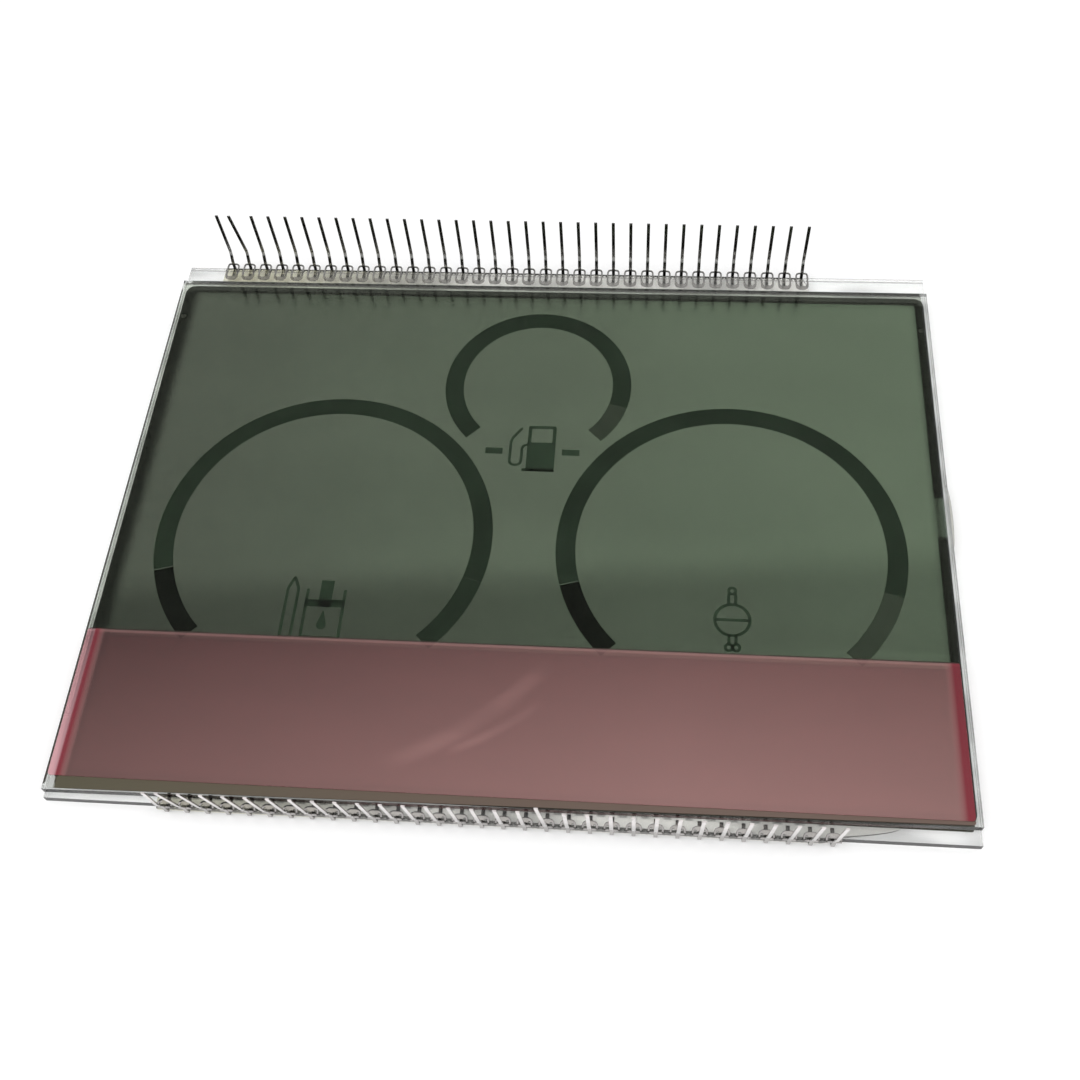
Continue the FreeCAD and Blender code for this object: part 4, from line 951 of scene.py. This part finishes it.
def fillet(start, end, wall_start, wall_end, edge, pitch, first, count, high, lip, swing, past):
    """A bead of resin between the rear glass and the front glass edge, over a grid along X and across Y.

    Its height falls from the wall to the edge with a hollow curve and is drawn up round each clip by the
    fourth power of a cosine at the pin pitch. Its outer line lies past the glass edge by a set distance,
    swings in between the clips by the same wave, and beyond the last clip runs back to the wall along the
    root of what is left of the tail. What lies past the edge hangs down beside it.
    """
    rows, columns = 420, 15
    side = np.sign(edge)
    last = first + pitch * (count - 1)
    tail = end - last
    along = np.linspace(start, end, rows)[:, None]
    share = np.linspace(0, 1, columns)[None, :]
    wall = wall_start + (wall_end - wall_start) * (along - start) / (end - start)
    wave = np.where(along > last, 1.0, np.cos(math.pi * (along - first) / pitch) ** 4)
    beyond = past * np.clip((last + pitch / 2 - along) / pitch, 0, 1)
    outer = edge + side * (beyond - swing * (1 - wave))
    outer = wall + (outer - wall) * np.clip((end - along) / tail, 0.002, 1) ** 0.5
    y = wall + (outer - wall) * share
    hollow = lip + (high - lip) * (1 - share) ** 2
    ends = np.sqrt(np.clip(np.minimum(along - start, end - along) / (1.0 * MM), 0.02, 1))
    top = LEDGE + hollow * (0.55 + 0.45 * wave) * (1 - share ** 6 * 0.9) * ends - beyond * 0.7 * share ** 8
    foot_y = np.minimum(np.abs(outer) - 2 * SKIN, abs(edge) + SKIN) * side
    floor = np.full_like(along, LEDGE + SKIN)
    hang = np.where(np.abs(outer) > abs(edge) + 3 * SKIN, LEDGE - beyond * 1.6, LEDGE + SKIN / 2)
    upper = np.stack(np.broadcast_arrays(along, y, top), -1)
    lower = np.stack([np.column_stack([along, outer, hang]), np.column_stack([along, foot_y, hang]),
                      np.column_stack([along, foot_y, floor]), np.column_stack([along, wall, floor])], 1)
    map_across = np.concatenate([share[0], [0.5, 0.5, 0.5, 0.5]])[None, :]
    map_along = np.where(along > last, 100.0, (along - first) / pitch + 100)
    places = np.stack(np.broadcast_arrays(map_across, map_along), -1)
    return tube(np.concatenate([upper, lower], axis=1)), places.reshape(-1, 2)


class PANEL_OT_resin(bpy.types.Operator):
    """Clear resin round both rows of clips"""
    bl_idname = "lcd_panel.resin"
    bl_label = "Resin"

    def execute(self, context):
        sizes, colours = context.scene.lcd_pins, context.scene.lcd_colours
        upper_wall = np.array([REAR_HIGH[1] + SKIN] * 2)
        corners = outline_of("rear_glass")
        slope = (corners[1][1] - corners[0][1]) / (corners[1][0] - corners[0][0])
        low, high = corners_of("lower_resin")
        lower_wall = corners[0][1] + slope * (np.array([low[0], high[0]]) - corners[0][0]) - SKIN
        # depth is how dark each bead's painted shade gets, and blobs sets its painted shade by the wall.
        upper = {"high": 0.78 * MM, "lip": 0.3 * MM, "swing": 0.1 * MM, "past": 0.12 * MM}
        lower = {"high": 0.34 * MM, "lip": 0.28 * MM, "swing": 0.0, "past": 0.5 * MM}
        for row, wall, edge, shape, look in (
                ("upper", upper_wall, EDGE, upper, {"depth": 0.07}),
                ("lower", lower_wall, -EDGE, lower, {"depth": 0.3, "blobs": 0.6})):
            low, high = corners_of(f"{row}_resin")
            first, count = getattr(sizes, f"{row}_start"), getattr(sizes, f"{row}_count")
            bead, places = fillet(low[0], high[0], *wall, edge, sizes.pitch, first, count, **shape)
            resin = resin_finish(f"{row}_resin", colours.resin, colours.aged_resin, **look)
            piece(f"{row}_resin_bead", [bead], resin, [f"{row}_resin"], RESIN_SMOOTHING, places)
        return {"FINISHED"}


class PANEL_OT_port_drop(bpy.types.Operator):
    """The resin drop over the fill port: half of a flattened round body on the glass edge"""
    bl_idname = "lcd_panel.port_drop"
    bl_label = "Fill port drop"

    def execute(self, context):
        """The drop is half an ellipsoid, in the sines and cosines of the angle round it and of the way out.
        The sine round it is raised to the power 0.8, which makes it a little squarer."""
        low, high = corners_of("end_seal")
        centre = np.array([GLASS_HIGH[0], (low[1] + high[1]) / 2, (low[2] + high[2]) / 2])
        half = np.array([high[0] - GLASS_HIGH[0] - SKIN, (high[1] - low[1]) / 2, (high[2] - low[2]) / 2])
        rows, columns = 48, 12
        around, out = np.meshgrid(round_angles(rows), np.linspace(0, math.pi / 2, columns + 1)[:-1],
                                  indexing="ij")
        y = np.cos(around) * np.cos(out)
        z = np.sign(np.sin(around)) * np.abs(np.sin(around)) ** 0.8 * np.cos(out)
        points = centre + np.stack([np.sin(out) * half[0], y * half[1], z * half[2]], -1)
        flat = points.reshape(-1, 3)
        faces = grid_faces(rows, columns, True, False).tolist()
        tip = len(flat)
        last = np.arange(rows) * columns + columns - 1
        faces += np.column_stack([last, np.roll(last, -1), np.full(rows, tip)]).tolist()
        faces.append((np.arange(rows) * columns).tolist())
        flat = np.concatenate([flat, [centre + np.array([half[0], 0, 0])]])
        flat[:, 0] += SKIN
        colours = context.scene.lcd_colours
        # The drop gets the resin's painted dark contours.
        resin = resin_finish("port_resin", colours.port_resin, colours.port_resin, depth=0.07)
        piece("port_resin_drop", [(flat, faces)], resin, ["end_seal"], RESIN_SMOOTHING)
        return {"FINISHED"}


# Stage: the camera is solved from the photograph's pins and glass corners

VIEW_POINT = Vector((16.006, -91.239, 146.782)) * MM
VIEW = Vector((-0.08210178, 0.51179954, -0.8551728)).normalized()
VIEW_UP = Vector((-0.03380934, 0.8561455, 0.51562758)).normalized()
PICTURE_WIDTH = 1080  # pixels of the photograph
FOCAL_LENGTH = 1287.55  # in the same pixels
SENSOR_WIDTH = 36.0


class PANEL_OT_stage(bpy.types.Operator):
    """Camera, pale floor, soft lamps and an even sky"""
    bl_idname = "lcd_panel.stage"
    bl_label = "Stage"

    def execute(self, context):
        scene, settings = context.scene, context.scene.lcd_stage
        data = bpy.data.cameras.new("camera")
        data.sensor_width, data.sensor_fit = SENSOR_WIDTH, "AUTO"
        data.lens = FOCAL_LENGTH / PICTURE_WIDTH * SENSOR_WIDTH
        data.clip_start, data.clip_end = 0.005, 20.0
        scene.camera = bpy.data.objects.new("camera", data)
        right = VIEW.cross(VIEW_UP).normalized()
        turn = Matrix((right, right.cross(VIEW), -VIEW)).transposed().to_4x4()
        scene.camera.matrix_world = Matrix.Translation(VIEW_POINT) @ turn
        scene.collection.objects.link(scene.camera)

        r = Recipe("pale_floor")
        tone = r.ramp(r.noise(r.place(), 12, 2.0), settings.floor - 0.004, settings.floor + 0.004)
        strength = r.times(r.seen_directly(), settings.glow)
        glow = r.add("Emission", {"Color": (1, 1, 1, 1), "Strength": strength})
        sheet = r.add("AddShader", {0: r.surface("Diffuse", r.grey(tone)), 1: glow.outputs["Emission"]})
        behind = r.add("NewGeometry").outputs["Backfacing"]
        pale = r.done(r.mixed(behind, sheet.outputs["Shader"], r.surface("Transparent", (1, 1, 1))))
        mesh = bpy.data.meshes.new("floor")
        reach, level = 0.6, -0.02 * MM
        corners = rectangle(-reach, -reach, reach, reach)
        mesh.from_pydata([(x, y, level) for x, y in corners], [], [(0, 1, 2, 3)])
        mesh.materials.append(pale)
        floor = bpy.data.objects.new("floor", mesh)
        scene.collection.objects.link(floor)

        r = Recipe("studio", "World")
        strength = r.ramp(r.seen_directly(), settings.sky, 1.0)
        sky = r.add("Background", {"Color": (1, 1, 1, 1), "Strength": strength})
        scene.world = r.done(sky.outputs["Background"])

        for name, place, width, energy in (("key", (-0.25, -0.15, 0.5), 0.35, 1.3),
                                           ("fill", (0.46, 0.05, 0.4), 0.4, 0.8)):
            lamp = bpy.data.lights.new(name, "AREA")
            lamp.shape, lamp.size, lamp.energy = "SQUARE", width, energy
            item = bpy.data.objects.new(name, lamp)
            item.location = place
            item.visible_glossy = False
            item.rotation_euler = (-Vector(place)).to_track_quat("-Z", "Y").to_euler()
            scene.collection.objects.link(item)
        scene.view_settings.view_transform = "Standard"
        return {"FINISHED"}


OPERATORS = (PANEL_OT_stage, PANEL_OT_glass_plates, PANEL_OT_polarisers, PANEL_OT_red_film, PANEL_OT_cell,
             PANEL_OT_gauge_bands, PANEL_OT_pictograms, PANEL_OT_clip_pins, PANEL_OT_resin,
             PANEL_OT_port_drop)
SETTINGS = (("lcd_pins", PinSizes), ("lcd_gauges", GaugeSizes), ("lcd_colours", PanelColours),
            ("lcd_stage", StageSettings))


class PANEL_PT_sidebar(bpy.types.Panel):
    """Pieces, sizes and colours of the LCD panel"""
    bl_idname = "PANEL_PT_sidebar"
    bl_label = "LCD panel"
    bl_space_type = "VIEW_3D"
    bl_region_type = "UI"
    bl_category = "LCD panel"

    def draw(self, context):
        for operator in OPERATORS:
            self.layout.operator(operator.bl_idname)
        for name, group in SETTINGS:
            settings = getattr(context.scene, name)
            for key in group.__annotations__:
                self.layout.prop(settings, key)


def register():
    for name, group in SETTINGS:
        bpy.utils.register_class(group)
        setattr(bpy.types.Scene, name, bpy.props.PointerProperty(type=group))
    for item in (*OPERATORS, PANEL_PT_sidebar):
        bpy.utils.register_class(item)


def unregister():
    for item in (PANEL_PT_sidebar, *reversed(OPERATORS)):
        bpy.utils.unregister_class(item)
    for name, group in SETTINGS:
        delattr(bpy.types.Scene, name)
        bpy.utils.unregister_class(group)


def main():
    register()
    for operator in OPERATORS:
        category, name = operator.bl_idname.split(".")
        getattr(getattr(bpy.ops, category), name)()
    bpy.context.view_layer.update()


if __name__ == "__main__":
    main()
